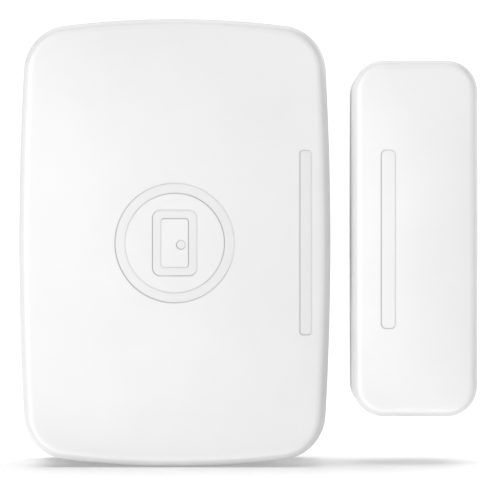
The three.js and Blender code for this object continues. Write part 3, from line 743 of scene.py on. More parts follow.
def slab(loop_at, z0, z1, low_edge=0.0, high_edge=0.0, centre=(0, 0)):
    """A solid between two heights with the outline loop_at(inset) and rounded edges."""
    bm = bmesh.new()
    rings = []
    for z, edge, way in ((z0, low_edge, 1), (z1, high_edge, -1)):
        bands = quarter_round(edge, UPRIGHT, LEVEL, 4) if edge else [(0, 0)]
        rings += [[(x, y, z + way * rise) for x, y in loop_at(inset)] for inset, rise in bands[::way]]
    add_solid(bm, rings)
    return object_of(bm, centre)


def block(x0, x1, y0, y1, z0, z1, corner=0.0, edge=0.0):
    """A block with round upright corners and rounded edges round its top and bottom."""
    panel = Panel(x1 - x0, y1 - y0, corner)

    def loop_at(inset):
        if corner:
            return panel.loop(-inset)
        w, h = panel.half[0] - inset, panel.half[1] - inset
        return [(w, h), (-w, h), (-w, -h), (w, -h)]

    return slab(loop_at, z0, z1, edge, edge, ((x0 + x1) / 2, (y0 + y1) / 2))


def filling(node, corner, edge):
    """A block that fills the box of a CAD node."""
    low, high = panel_box(node)
    return block(low.x, high.x, low.y, high.y, low.z, high.z, corner, edge)


def both_sides(x0, x1, *rest):
    """A block on the left and its match on the right."""
    return [block(*sorted((side * x0, side * x1)), *rest) for side in (-1, 1)]


def run(section, start, stop, axis):
    """A closed section run along x, as (y, z) points, or along y, as (x, z) points."""
    bm = bmesh.new()
    if axis == "x":
        ends = [[(at, y, z) for y, z in section] for at in (start, stop)]
    else:
        ends = [[(x, at, z) for x, z in section] for at in (start, stop)]
    add_solid(bm, ends)
    return object_of(bm, merge=0.0004)


def strip(line, thickness):
    """The closed section of a bent strip about a centre line, with its bends rounded."""
    line = np.array(rounded(line, 0.5))
    along = np.gradient(line, axis=0)
    along /= np.linalg.norm(along, axis=1)[:, None]
    side = np.stack([-along[:, 1], along[:, 0]], axis=1) * thickness / 2
    return np.concatenate([line - side, (line + side)[::-1]])


def joined(objects):
    """One object from several that don't need cutting."""
    bm = bmesh.new()
    for obj in objects:
        bm.from_mesh(obj.data)
        bpy.data.objects.remove(obj)
    return new_object("shape", mesh_of(bm))


def finished(obj, name, angle=40):
    """Names a shape and shades its flats flat and its rounds smooth."""
    smooth(named(obj, name), angle)
    weights = obj.modifiers.new("normals", "WEIGHTED_NORMAL")
    weights.keep_sharp = True
    return obj


def stands_for(obj, node, name, angle=40):
    """Finishes a shape that takes the place of a CAD node."""
    paint(finished(obj, name, angle), FINISH[SLOT_OF[node]])
    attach(obj, BODY_OF[node])
    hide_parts(node)


def goes_with(shapes, node, name, material):
    """Finishes shapes that are together one further detail of a CAD node."""
    obj = paint(finished(joined(shapes), name), material)
    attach(obj, BODY_OF[node])


# ---- Wall plate and foam -----------------------------------------------------------------------------

RAIL_X = 14.7
RAIL_BASE = 0.6  # half a rail's width at its foot
RAIL_HEAD = 1.0  # and at its top
PLATE = 1.8  # the wall plate's thickness


def foam_piece(node, name, corner, seed, bulge=0.1):
    """Cut foam tape: rough cut sides that bulge a little, and faintly uneven faces."""
    low, high = panel_box(node)
    middle = (low + high) / 2
    panel = Panel(high.x - low.x, high.y - low.y, corner)
    bm = bmesh.new()
    rings = []
    for share in np.linspace(0, 1, 7):
        z = low.z + (high.z - low.z) * share
        waist = 0.05 + bulge * (2 * share - 1) ** 2
        ring = []
        for x, y in panel.loop(0, spacing=0.2):
            rough = 0.05 * (noise.noise((x * 3, y * 3, z * 4 + seed)) + 0.4)
            shrink = 1 - (waist + rough) / math.hypot(x, y)
            ring.append((x * shrink, y * shrink, z))
        rings.append(ring)
    add_bands(bm, rings)
    for ring in (rings[0], rings[-1]):
        level = ring[0][2]
        add_patch(bm, np.array(ring)[:, :2], lambda x, y: np.full(len(x), level), 0.7)
    made = object_of(bm, (middle.x, middle.y), merge=0.002)
    stands_for(made, node, name, 50)


def wall_screw_holes(y, top, centre=(0, 0)):
    """Countersunk holes, as tools for cutting."""
    shank, head, depth = 1.6, 2.85, 1.2
    sink = [(0, 0), (shank, 0), (shank, top - depth), (head, top), (head, top + 1), (0, top + 1)]
    return [turned(sink, centre[0], centre[1] + at) for at in (-y, y)]


def dovetail(x, clearance, bottom, top):
    base, head = RAIL_BASE + clearance, RAIL_HEAD + clearance
    return [(x - base, bottom), (x + base, bottom), (x + head, top), (x - head, top)]


def mount_plate():
    """The wall plate: rails to hang the sensor on, a click finger, screw holes and sink marks."""
    low, _ = panel_box("sensor_mount_plate")
    top = low.z + PLATE
    plate = slab(lambda inset: SENSOR.outline(0.3 + inset), low.z, top, 0.25, 0.3)
    rails = [run(dovetail(x, 0, top - 0.2, top + 1.5), -17, 17, "y") for x in (-RAIL_X, RAIL_X)]
    left, right, lower, upper, gap = 6, 11, -21.5, -14, 0.8
    y, z, radius = lower + 1.3, top - 0.45, 0.65
    turns = np.linspace(0, 2 * math.pi, 24, endpoint=False)
    bead = [(y + radius * math.cos(t), z + radius * math.sin(t)) for t in turns]
    slots = [
        block(left - gap, left, lower - gap, upper, 0, top + 1),
        block(right, right + gap, lower - gap, upper, 0, top + 1),
        block(left - 0.5, right + 0.5, lower - gap, lower, 0, top + 1),
    ]
    pockets = [cylinder(3.2, top - 0.25, top + 1, 0, y) for y in (-9, 9)]
    combine(plate, [*rails, run(bead, left + gap, right - gap, "x")], "UNION")
    combine(plate, [*slots, *pockets, *wall_screw_holes(19.8, top)], "DIFFERENCE")
    stands_for(plate, "sensor_mount_plate", "mount_plate_moulding")


foam_piece("sensor_adhesive_pad", "sensor_foam_tape", 2, 1.5)
foam_piece("magnet_adhesive_pad", "magnet_foam_tape", 1.5, 7.5)
foam_piece("magnet_foam_strip", "magnet_foam_spacer", 0.5, 3.5, bulge=0.04)
mount_plate()

# ---- The sensor's tray -------------------------------------------------------------------------------

CORNERS = [(sx, sy) for sx in (-1, 1) for sy in (-1, 1)]
POSTS = [(sx * 11.2, sy * 19.2) for sx, sy in CORNERS]
SCREW_POSTS = [POSTS[0], POSTS[3]]
PIN_POSTS = [POSTS[1], POSTS[2]]
CELL_RADIUS = 12.25
CELL_HEIGHT = 5
BOARD_LOW, BOARD_HIGH = panel_box("circuit_board")
BOARD_BACK = BOARD_LOW.z
BOARD_FACE = BOARD_HIGH.z
BUTTON = centre_of("pairing_button")


def rear_housing():
    """The tray: a well for the cell, posts and pins for the board, and grooves for the plate's rails."""
    back = panel_box("rear_housing")[0].z
    floor_top, rim, tongue_top, well_top = back + 1.5, 6, 7.5, 8.6
    root = floor_top - 0.2  # what stands on the floor starts a little inside it
    well_radius, well_wall = CELL_RADIUS + 0.3, 0.85
    post_radius, pin_radius, screw_radius = 1.9, 0.8, 1
    x, y = CELL_CENTRE.x, CELL_CENTRE.y
    tray = slab(lambda inset: SENSOR.outline(0.1 + inset), back, rim, 0.45, 0.15)
    tongue = slab(lambda inset: SENSOR.outline(1.7 + inset), back + 0.2, tongue_top, 0, 0.2)
    hollow = slab(lambda inset: SENSOR.outline(2.7 + inset), floor_top, tongue_top + 1, 0.5)
    combine(tray, [tongue], "UNION")
    combine(tray, [hollow], "DIFFERENCE")
    roofs = both_sides(12.8, 16.2, -19, 18.5, root, floor_top + 1.2, 0.3, 0.15)
    snaps = both_sides(15.5, 16.15, -4, 4, 6.7, 7.1, 0, 0.04)
    well = cylinder(well_radius + well_wall, root, well_top, x, y, 128)
    posts = [cylinder(post_radius, root, BOARD_BACK - 0.05, *place) for place in POSTS]
    foot, tip, slant = BOARD_BACK - 1, BOARD_FACE + 0.5, 0.25
    pin = [(0, foot), (pin_radius, foot), (pin_radius, tip - slant), (pin_radius - slant, tip), (0, tip)]
    pins = [turned(pin, *place, 48) for place in PIN_POSTS]
    ribs = [block(px - 0.4, px + 0.4, *sorted((py, math.copysign(22.6, py))), root, 7) for px, py in POSTS]
    combine(tray, [*roofs, *snaps, well, *posts, *pins, *ribs], "UNION")
    grooves = [run(dovetail(rail, 0.25, back - 0.01, 4.4), -27, 17.05, "y") for rail in (-RAIL_X, RAIL_X)]
    bore = cylinder(well_radius, back - 1, well_top + 1, x, y, 128)
    slot = block(-3.2, 3.2, y - 15, y - 11, floor_top, well_top + 1)
    notch = cylinder(2.4, back - 1, back + 1, -9.4, -4.2)
    combine(tray, [*grooves, bore, slot, notch], "DIFFERENCE")
    under_cell = panel_box("coin_cell_positive_can")[0].z - 0.05
    lips = []
    for side in (-1, 1):
        reach = sorted((y + side * (well_radius - 0.75), y + side * (well_radius + 1.25)))
        lips.append(block(-4, 4, *reach, back, under_cell))
    combine(tray, lips, "UNION")
    holes = [cylinder(screw_radius, 5.3, BOARD_BACK, *place) for place in SCREW_POSTS]
    holes.append(cylinder(2.3, back - 1, floor_top + 1, BUTTON.x, BUTTON.y))
    ejectors = [cylinder(1.1, back - 1, back + 0.06, ex, ey) for ex in (-8, 8) for ey in (-20.5, 21)]
    combine(tray, [*holes, *ejectors], "DIFFERENCE")
    stands_for(tray, "rear_housing", "rear_housing_moulding")


rear_housing()

# ---- Coin cell and its contacts ----------------------------------------------------------------------


def coin_cell():
    """The cell's case, lid, gasket and pellets, all turned about its axis."""
    low, high = panel_box("coin_cell_positive_can")
    r = (high.x - low.x) / 2
    bottom = low.z
    top = bottom + CELL_HEIGHT
    case = [
        (0, bottom + 0.08), (r - 3.4, bottom + 0.08), (r - 3.1, bottom), (r - 0.5, bottom),
        (r, bottom + 0.5), (r, top - 0.75), (r - 0.45, top - 0.35), (r - 0.9, top - 0.35),
        (r - 0.9, top - 0.65), (r - 0.4, top - 0.9), (r - 0.4, bottom + 0.4), (0, bottom + 0.4),
    ]
    lid = [
        (0, top - 0.35), (r - 2.3, top - 0.35), (r - 2.3, bottom + 0.75), (r - 1.9, bottom + 0.75),
        (r - 1.9, top - 0.25), (r - 2.2, top), (r - 4.0, top), (r - 4.2, top - 0.06), (0, top - 0.06),
    ]
    gasket = [
        (r - 1.8, bottom + 0.5), (r - 0.5, bottom + 0.5), (r - 0.5, top - 0.95), (r - 0.95, top - 0.75),
        (r - 0.95, top - 0.25), (r - 1.8, top - 0.25),
    ]
    pellets = [(0, bottom + 0.45), (r - 2.4, bottom + 0.45), (r - 2.4, top - 0.4), (0, top - 0.4)]
    for node, name, profile, segments in (
        ("coin_cell_positive_can", "coin_cell_case", rounded(case, 0.2), 160),
        ("coin_cell_negative_cap", "coin_cell_lid", rounded(lid, 0.15), 160),
        ("coin_cell_seal_ring", "coin_cell_gasket", rounded(gasket, 0.1, closed=True), 160),
        ("coin_cell_pellets", "coin_cell_electrode_pellets", rounded(pellets, 0.2), 96),
    ):
        stands_for(turned(profile, CELL_CENTRE.x, CELL_CENTRE.y, segments), node, name)


def contacts():
    """Two bent springs: a forked leaf on the cell's lid and a bracket against its side."""
    thickness = 0.2
    foot = BOARD_BACK - 0.05 - thickness / 2
    touch = panel_box("battery_negative_contact")[0].z + thickness / 2
    y = CELL_CENTRE.y
    leaf = [(y - 5.5, foot), (y - 2.6, foot), (y - 1.2, foot - 0.1), (y + 1.6, touch), (y + 2.6, touch),
            (y + 3.8, foot - 0.3)]
    shape = run(strip(leaf, thickness), -1.6, 1.6, "x")
    combine(shape, [block(-0.35, 0.35, y - 1, y + 5, foot - 2, foot + 1)], "DIFFERENCE")
    stands_for(shape, "battery_negative_contact", "battery_leaf_spring")
    side = y - CELL_RADIUS - 0.05 - thickness / 2
    bracket = [(side - 2.6, foot), (side - 0.75, foot), (side - 0.4, foot - 0.35), (side - 0.4, 8.2),
               (side, 7.3), (side, 6.1), (side - 0.4, 5.2)]
    shape = run(strip(bracket, thickness), -2.4, 2.4, "x")
    stands_for(shape, "battery_positive_contact", "battery_side_spring")


coin_cell()
contacts()

# ---- Circuit board -----------------------------------------------------------------------------------


def board():
    """The laminate, with holes for the screws and pins and a notch for the reed switch."""
    corner, edge, hole = 4.2, 0.04, 1
    panel = Panel(BOARD_HIGH.x - BOARD_LOW.x, BOARD_HIGH.y - BOARD_LOW.y, corner)
    shape = slab(lambda inset: panel.loop(-inset), BOARD_BACK, BOARD_FACE, edge, edge)
    holes = [cylinder(hole, BOARD_BACK - 1, BOARD_FACE + 1, *place) for place in POSTS]
    notch = block(12.6, 17, -7.2, 7.2, BOARD_BACK - 1, BOARD_FACE + 1, 0.5)
    combine(shape, [*holes, notch], "DIFFERENCE")
    stands_for(shape, "circuit_board", "board_laminate_sheet")


def ribbon(bm, a, b, width, z0, z1, steps=5):
    """Adds a flat bar with round ends between two points."""
    a, b = np.array(a, float), np.array(b, float)
    turn = math.atan2(*(b - a)[::-1])
    loop = []
    for centre, start in ((b, turn - math.pi / 2), (a, turn + math.pi / 2)):
        for t in np.linspace(start, start + math.pi, steps + 1):
            loop.append(centre + width / 2 * np.array((math.cos(t), math.sin(t))))
    add_solid(bm, [[(x, y, z) for x, y in loop] for z in (z0, z1)])


def route(a, b):
    """A track from a to b: straight, a 45 degree turn, and straight again."""
    (ax, ay), (bx, by) = a, b
    dx, dy = bx - ax, by - ay
    slant = min(abs(dx), abs(dy))
    step = (math.copysign(slant, dx), math.copysign(slant, dy))
    rest = ((dx - step[0]) / 2, (dy - step[1]) / 2)
    first = (ax + rest[0], ay + rest[1])
    return [a, first, (first[0] + step[0], first[1] + step[1]), b]


# Chip resistors and capacitors: place, turned upright or not, and kind.
SMALL_PARTS = [
    (-8.0, 9.6, True, "c"), (-8.0, 7.4, True, "r"), (-1.2, 8.5, True, "c"), (-4.5, 5.4, False, "r"),
    (-4.5, 11.6, False, "c"), (1.6, 2.2, True, "c"), (8.4, 2.2, True, "c"), (5.0, -1.0, False, "r"),
    (5.0, 5.4, False, "r"), (3.4, -21.0, False, "r"), (3.6, -5.4, False, "c"), (3.6, -10.9, False, "c"),
    (-8.6, 18.2, True, "c"), (-6.6, 18.2, True, "r"), (9.6, 8.2, False, "r"), (9.6, -8.8, False, "r"),
    (-10.2, 1.2, False, "c"), (-7.4, 1.2, False, "r"), (-4.6, 1.2, False, "r"), (-10.2, -2.4, False, "c"),
    (-7.4, -2.4, False, "c"), (0.6, -3.4, True, "r"), (8.2, -2.6, True, "c"), (0.2, 14.6, True, "r"),
]
TRACKS = [
    ((-8.0, 9.0), (-5.7, 9.2)), ((-8.0, 7.9), (-5.7, 8.0)), ((-1.2, 8.0), (-3.3, 8.0)),
    ((-4.5, 5.9), (-4.2, 7.3)), ((1.6, 1.7), (3.9, 1.6)), ((8.4, 1.7), (6.1, 1.6)),
    ((6.1, 2.9), (9.1, 8.2)), ((5.0, 5.4), (4.4, 9.4)), ((3.2, -8.2), (1.2, -10.0)),
    ((3.1, -5.4), (1.0, -8.0)), ((3.1, -10.9), (1.2, -12.0)), ((2.9, -21.0), (0.8, -22.2)),
    ((3.9, -21.0), (-2.0, -17.0)), ((13.9, 9.2), (10.1, 8.2)), ((13.9, -9.2), (10.1, -8.8)),
    ((9.1, -8.8), (1.2, -14.0)), ((-7.4, 20.7), (-6.6, 18.7)), ((-6.6, 17.7), (-7.4, -6.0)),
    ((-10.7, 1.2), (-11.0, -6.0)), ((-4.1, 1.2), (-3.4, -6.0)), ((0.6, -2.9), (2.0, 8.8)),
    ((0.6, -3.9), (-1.4, -6.0)), ((8.2, -3.1), (8.2, -12.0)), ((0.2, 14.1), (2.4, 11.2)),
    ((-9.7, -2.4), (-9.2, -6.0)), ((-6.9, -2.4), (-6.4, -6.0)), ((8.5, -17.0), (0.8, -21.9)),
]


def tracks():
    """Copper under the mask."""
    width, low, high = 0.3, BOARD_FACE - 0.01, BOARD_FACE + 0.02
    copper = bmesh.new()
    for a, b in TRACKS:
        points = route(a, b)
        for here, there in zip(points, points[1:]):
            if math.dist(here, there) > 0.01:
                ribbon(copper, here, there, width, low, high)
    goes_with([object_of(copper)], "circuit_board", "board_tracks", MASKED_COPPER)


def vias():
    """Rings of masked copper: in rows along the board's edges, and scattered between the parts."""
    dots = random.Random(4)
    spots = [(x, sy * 21.9) for x in np.arange(-8, 8.5, 1.6) for sy in (-1, 1) if abs(x) > 2.5 or sy > 0]
    spots += [(-14.5, y) for y in np.arange(-16, 16.5, 1.6)]
    spots += [(dots.uniform(-12, 11), dots.uniform(-5, 16)) for _ in range(26)]
    inner, outer, low, high = 0.16, 0.3, BOARD_FACE - 0.2, BOARD_FACE + 0.018
    ring = [(inner, low), (outer, low), (outer, high), (inner, high)]
    rings = [turned(ring, x, y, 20) for x, y in spots if clear_of_parts(x, y)]
    goes_with(rings, "circuit_board", "board_vias", MASKED_COPPER)


def test_pads():
    """Bare gold pads."""
    low, high = BOARD_FACE - 0.1, BOARD_FACE + 0.02
    pads = [cylinder(0.55, low, high, x, 17.6, 32) for x in (4.2, 5.9, 7.6)]
    pads += [cylinder(0.9, low, high, x, -19.0, 40) for x in (-7.0, -4.2)]
    goes_with(pads, "circuit_board", "board_test_pads", GOLD)


def printed_outlines():
    """Plain printed frames round three of the parts."""
    outlines = bmesh.new()
    for node, margin in (("motion_sensing_chip", 0.45), ("bulk_capacitor", 0.55), ("crystal_can", 0.45)):
        low, high = panel_box(node)
        x0, x1, y0, y1 = low.x - margin, high.x + margin, low.y - margin, high.y + margin
        ring = [(x0, y0), (x1, y0), (x1, y1), (x0, y1), (x0, y0)]
        for here, there in zip(ring, ring[1:]):
            ribbon(outlines, here, there, 0.12, BOARD_FACE - 0.01, BOARD_FACE + 0.025)
    goes_with([object_of(outlines)], "circuit_board", "board_printed_outlines", PRINT)


PARTS_ON_FACE = [
    "rf_shield_can", "crystal_can", "motion_sensing_chip", "power_regulator_chip", "bulk_capacitor",
    "antenna_strip", "status_led", "board_screw_lower_left", "board_screw_upper_right",
]


def clear_of_parts(x, y, margin=0.7):
    """Whether a via fits between the parts."""
    for node in PARTS_ON_FACE:
        low, high = panel_box(node)
        if low.x - margin < x < high.x + margin and low.y - margin < y < high.y + margin:
            return False
    near = [(px, py) for px, py, *_ in SMALL_PARTS] + POSTS
    return all(math.dist((x, y), p) > 2 * margin for p in near) and x < 12


def laid(x, y, upright, along, across):
    """The x and y reach of a box along a small part's length and across it."""
    if upright:
        along, across = across, along
    return (x + along[0], x + along[1], y + across[0], y + across[1])


def small_parts():
    """Chip resistors and capacitors with their plated ends and solder."""
    half, wide, tall, end = 0.5, 0.25, 0.36, 0.14
    foot = BOARD_FACE + 0.03
    bodies = {"r": [], "c": []}
    ends = []
    joints = []
    for x, y, upright, kind in SMALL_PARTS:
        core = laid(x, y, upright, (end - half, half - end), (-wide, wide))
        bodies[kind].append(block(*core, foot, foot + tall, 0.02, 0.02))
        for side in (-1, 1):
            reach = sorted((side * half, side * (half - end)))
            cap = laid(x, y, upright, reach, (-wide - 0.01, wide + 0.01))
            ends.append(block(*cap, foot - 0.01, foot + tall + 0.01, 0.04, 0.04))
            reach = sorted((side * (half - 0.1), side * (half + 0.22)))
            pad = laid(x, y, upright, reach, (-wide - 0.06, wide + 0.06))
            joints.append(block(*pad, BOARD_FACE - 0.02, BOARD_FACE + 0.12, 0.1, 0.09))
    goes_with(bodies["r"], "circuit_board", "board_chip_resistors", CHIP_RESISTOR)
    goes_with(bodies["c"], "circuit_board", "board_chip_capacitors", CHIP_CAPACITOR)
    goes_with(ends, "circuit_board", "board_chip_ends", SOLDER)
    goes_with(joints, "circuit_board", "board_solder_pads", SOLDER)


def solder_cones():
    """Solder round the tact switch's leads, on the board's front."""
    cone = rounded([(0.0, -0.05), (0.75, -0.05), (0.7, 0.05), (0.35, 0.25), (0.24, 0.55), (0.0, 0.62)], 0.12)
    cone = [(r, BOARD_FACE + z) for r, z in cone]
    cones = [turned(cone, BUTTON.x + sx * 2.3, BUTTON.y + sy * 1.6, 32) for sx, sy in CORNERS]
    goes_with(cones, "circuit_board", "board_solder_joints", SOLDER)


board()
tracks()
vias()
test_pads()
printed_outlines()
small_parts()
solder_cones()

# ---- Parts on the board ------------------------------------------------------------------------------


def board_screw(node, name):
    """A cross-head screw with a domed head and a ridged shank."""
    low, high = panel_box(node)
    x, y = (low.x + high.x) / 2, (low.y + high.y) / 2
    head, height, shank, pitch = 1.7, 1.1, 0.9, 0.35
    under = BOARD_FACE + 0.05
    top = under + height
    thread = []
    for z in np.arange(low.z + 0.9, BOARD_BACK - 0.2, pitch):
        thread += [(shank - 0.16, z), (shank, z + 0.1), (shank, z + 0.16), (shank - 0.16, z + 0.28)]
    point = [(0, low.z), (0.35, low.z), (shank - 0.2, low.z + 0.8)]
    neck = [(shank, BOARD_BACK), (shank, under)]
    dome = rounded([(shank, under), (head, under), (head, under + height * 0.45),
                    (head * 0.8, under + height * 0.85), (head * 0.4, top), (0, top)], 0.25)
    shape = turned([*point, *thread, *neck, *dome[1:]], x, y, 48)
    long, narrow, bottom = 0.95, 0.21, top - 0.55
    cross = [block(x - a, x + a, y - b, y + b, bottom, top + 1, 0.08)
             for a, b in ((long, narrow), (narrow, long))]
    combine(shape, cross, "DIFFERENCE")
    stands_for(shape, node, name)


def shield_can():
    """A drawn tin lid with rows of holes in its top and gaps along its foot."""
    low, high = panel_box("rf_shield_can")
    shape = filling("rf_shield_can", 0.8, 0.18)
    wall, pitch = 0.2, 1.9
    hollow = block(low.x + wall, high.x - wall, low.y + wall, high.y - wall, low.z - 1, high.z - wall, 0.6, 0)
    middle = (low + high) / 2
    holes = [cylinder(0.32, high.z - 1, high.z + 1, middle.x + dx * pitch, middle.y + dy * pitch, 24)
             for dx in range(-2, 3) for dy in (-2, -1, 1, 2)]
    gaps = [block(x - 0.5, x + 0.5, low.y - 1, high.y + 1, low.z - 1, low.z + 0.35)
            for x in np.linspace(low.x + 2.2, high.x - 2.2, 4)]
    combine(shape, [hollow, *holes, *gaps], "DIFFERENCE")
    stands_for(shape, "rf_shield_can", "shield_can_pressing")


def chip(node, name, dimple=0.22):
    """A moulded package with its corner dimple."""
    low, high = panel_box(node)
    shape = filling(node, 0.1, 0.07)
    spot = cylinder(dimple, high.z - 0.05, high.z + 1, low.x + 2 * dimple, high.y - 2 * dimple, 32)
    combine(shape, [spot], "DIFFERENCE")
    stands_for(shape, node, name)


def pads_round(node, name, pitch, width=0.25, sides="xy"):
    """Plated pads that show at the foot of a package, in rows along x or y."""
    low, high = panel_box(node)
    z0, z1, reach, margin = BOARD_FACE - 0.02, low.z + 0.12, 0.18, 0.6
    made = []
    for axis in sides:
        (a0, a1), (b0, b1) = (low.x, high.x), (low.y, high.y)
        if axis == "y":
            (a0, a1), (b0, b1) = (b0, b1), (a0, a1)
        count = int((a1 - a0 - margin) / pitch)
        for at in (a0 + a1) / 2 + (np.arange(count + 1) - count / 2) * pitch:
            for near, far in ((b0 - reach, b0 + 0.1), (b1 - 0.1, b1 + reach)):
                pad = laid(0, 0, axis == "y", (at - width / 2, at + width / 2), (near, far))
                made.append(block(*pad, z0, z1, 0.05, 0.05))
    goes_with(made, node, name, SOLDER)


def crystal_can():
    low, high = panel_box("crystal_can")
    base = block(low.x, high.x, low.y, high.y, low.z, low.z + 0.35, 0.15, 0.04)
    lid = block(low.x + 0.2, high.x - 0.2, low.y + 0.2, high.y - 0.2, low.z + 0.3, high.z, 0.35, 0.14)
    combine(base, [lid], "UNION")
    stands_for(base, "crystal_can", "crystal_package")


def bulk_capacitor():
    low, high = panel_box("bulk_capacitor")
    shape = block(low.x + 0.12, high.x - 0.12, low.y, high.y, low.z + 0.1, high.z, 0.15, 0.14)
    stands_for(shape, "bulk_capacitor", "tantalum_capacitor_body")
    straps = [block(near, near + 0.55, low.y + 0.55, high.y - 0.55, low.z, low.z + 1.0, 0.1, 0.06)
              for near in (low.x, high.x - 0.55)]
    goes_with(straps, "bulk_capacitor", "tantalum_capacitor_straps", SOLDER)


def antenna():
    """A metal strip on two legs: a broad one at its end and the feed leg beside it."""
    low, high = panel_box("antenna_strip")
    foot, under, top = low.z, low.z + 0.7, high.z
    feed_left, feed_right = -8.2, -7.4
    line = [(low.x, top), (low.x, foot), (low.x + 1, foot), (low.x + 1, under),
            (feed_left, under), (feed_left, foot), (feed_right, foot), (feed_right, under),
            (high.x, under), (high.x, top)]
    shape = run(rounded(line, 0.2, closed=True), low.y, high.y, "y")
    stands_for(shape, "antenna_strip", "antenna_stamping")


def status_led():
    low, high = panel_box("status_led")
    lens = block(low.x + 0.2, high.x - 0.2, low.y, high.y, low.z + 0.2, high.z, 0.1, 0.1)
    stands_for(lens, "status_led", "led_lens")
    seat = [block(low.x, high.x, low.y, high.y, low.z, low.z + 0.2, 0.06, 0.03)]
    goes_with(seat, "status_led", "led_seat", PRINT)


def upright(profile, x, z, segments=48):
    """A profile of (radius, y) points turned about a line along y."""
    return turned(profile, x, 0, segments, axis="y", z=z)


def reed_switch():
    low, high = panel_box("reed_glass_capsule")
    x, z = (low.x + high.x) / 2, (low.z + high.z) / 2
    r, half = (high.x - low.x) / 2, (high.y - low.y) / 2
    lead, mouth, bore = 0.25, 0.32, 0.7
    glass = [
        (mouth, -half), (r - 0.4, -half), (r, -half + 0.7), (r, half - 0.7), (r - 0.4, half), (mouth, half),
        (mouth, half - 0.7), (bore, half - 1.3), (bore, -half + 1.3), (mouth, -half + 0.7),
    ]
    stands_for(upright(rounded(glass, 0.5, closed=True), x, z), "reed_glass_capsule", "reed_glass_tube")
    reach = panel_box("reed_fixed_blade")[1].y
    root = half - 1.1

    def rod(y0, y1):
        return upright(rounded([(0, y0), (lead, y0), (lead, y1), (0, y1)], 0.06), x, z, 24)

    fixed = rod(root - 0.2, reach)
    blade = block(x - 0.45, x + 0.45, -0.6, root, z + 0.015, z + 0.175, 0.12, 0.03)
    combine(fixed, [blade], "UNION")
    stands_for(fixed, "reed_fixed_blade", "reed_upper_blade")
    stands_for(rod(-reach, -root), "reed_lower_lead", "reed_lower_wire")
    stands_for(filling("reed_moving_blade", 0.12, 0.03), "reed_moving_blade", "reed_lower_blade")


def tact_switch():
    low, high = panel_box("tact_switch_body")
    middle = (low + high) / 2
    shape = block(low.x, high.x, low.y, high.y, low.z + 0.12, high.z, 0.3, 0.05)
    bore = cylinder(1.25, low.z - 1, 8.4, middle.x, middle.y)
    combine(shape, [bore], "DIFFERENCE")
    stands_for(shape, "tact_switch_body", "tact_switch_case")
    plate = block(low.x + 0.1, high.x - 0.1, low.y + 0.1, high.y - 0.1, low.z, low.z + 0.15, 0.25, 0.04)
    combine(plate, [cylinder(1.3, low.z - 1, low.z + 1, middle.x, middle.y)], "DIFFERENCE")
    goes_with([plate], "tact_switch_body", "tact_switch_plate", FINISH["tin_plate"])
    low, high = panel_box("tact_switch_plunger")
    stud = rounded([(0, low.z), (1.1, low.z), (1.1, high.z), (0, high.z)], 0.2)
    stands_for(turned(stud, middle.x, middle.y), "tact_switch_plunger", "tact_switch_stud")


def pairing_button():
    """A cap with a dished face, a flange and a stem."""
    low, high = panel_box("pairing_button")
    back, lift = low.z, 4.5
    profile = [
        (0, back + 0.18), (1.1, back + 0.12), (1.6, back), (1.75, back), (2, back + 0.25), (2, lift),
        (2.9, lift), (2.9, lift + 0.6), (1, lift + 0.6), (1, high.z), (0, high.z),
    ]
    shape = turned(rounded(profile, 0.12), BUTTON.x, BUTTON.y, 72)
    stands_for(shape, "pairing_button", "pairing_button_moulding")


def light_pipe():
    low, high = panel_box("light_pipe")
    z = (low.z + high.z) / 2
    step = high.y - 0.5
    profile = [(0, low.y), (0.75, low.y), (0.75, step), (1, step), (1, high.y), (0, high.y)]
    stands_for(upright(rounded(profile, 0.12), 0, z), "light_pipe", "light_pipe_moulding")


board_screw("board_screw_lower_left", "lower_left_screw")
board_screw("board_screw_upper_right", "upper_right_screw")
shield_can()
chip("radio_chip", "radio_package", dimple=0.3)
pads_round("radio_chip", "radio_package_pads", 0.5)
chip("motion_sensing_chip", "motion_sensor_package")
pads_round("motion_sensing_chip", "motion_sensor_pads", 0.65)
chip("power_regulator_chip", "regulator_package", dimple=0.16)
pads_round("power_regulator_chip", "regulator_legs", 0.95, 0.4, "x")
crystal_can()
pads_round("crystal_can", "crystal_pads", 2.2, 0.6, "x")
bulk_capacitor()
antenna()
status_led()
reed_switch()
tact_switch()
pairing_button()
light_pipe()

# ---- The magnet unit's inside ------------------------------------------------------------------------


def magnet_base():
    """A shallow tray with an open cradle for the bar magnet."""
    low, _ = panel_box("magnet_base")
    place = (MAGNET.centre.x, MAGNET.centre.y)
    bar = centre_of("bar_magnet")
    x, y = bar.x, bar.y
    floor = low.z + 2.15
    bar_top = panel_box("bar_magnet")[1].z
    base = slab(lambda inset: MAGNET.outline(0.1 + inset), low.z, floor, 0.4, 0.1, place)
    tongue = slab(lambda inset: MAGNET.outline(1.5 + inset), floor - 0.2, floor + 1.3, 0, 0.15, place)
    bay = slab(lambda inset: MAGNET.outline(2.3 + inset), floor, floor + 3, 0, 0, place)
    combine(base, [tongue], "UNION")
    combine(base, [bay], "DIFFERENCE")
    w, h, wall = 2.36, 11.06, 0.75
    far_x, far_y = w + wall, h + wall
    cradle = block(x - far_x, x + far_x, y - far_y, y + far_y, floor - 0.2, bar_top - 1, 0.4, 0.1)
    windows = [
        block(x - w, x + w, y - h, y + h, floor, bar_top),
        block(x - 1.2, x + 1.2, y - h - 2, y + h + 2, floor + 1.2, bar_top),
        block(x - w - 2, x + w + 2, y - 7, y + 7, floor + 1.4, bar_top),
    ]
    combine(cradle, windows, "DIFFERENCE")
    combine(base, [cradle], "UNION")
    combine(base, wall_screw_holes(15.15, floor, place), "DIFFERENCE")
    stands_for(base, "magnet_base", "magnet_base_moulding")


def bar_magnet():
    stands_for(filling("bar_magnet", 0.4, 0.3), "bar_magnet", "bar_magnet_plated")


magnet_base()
bar_magnet()

# ---- Floor, light and camera -------------------------------------------------------------------------

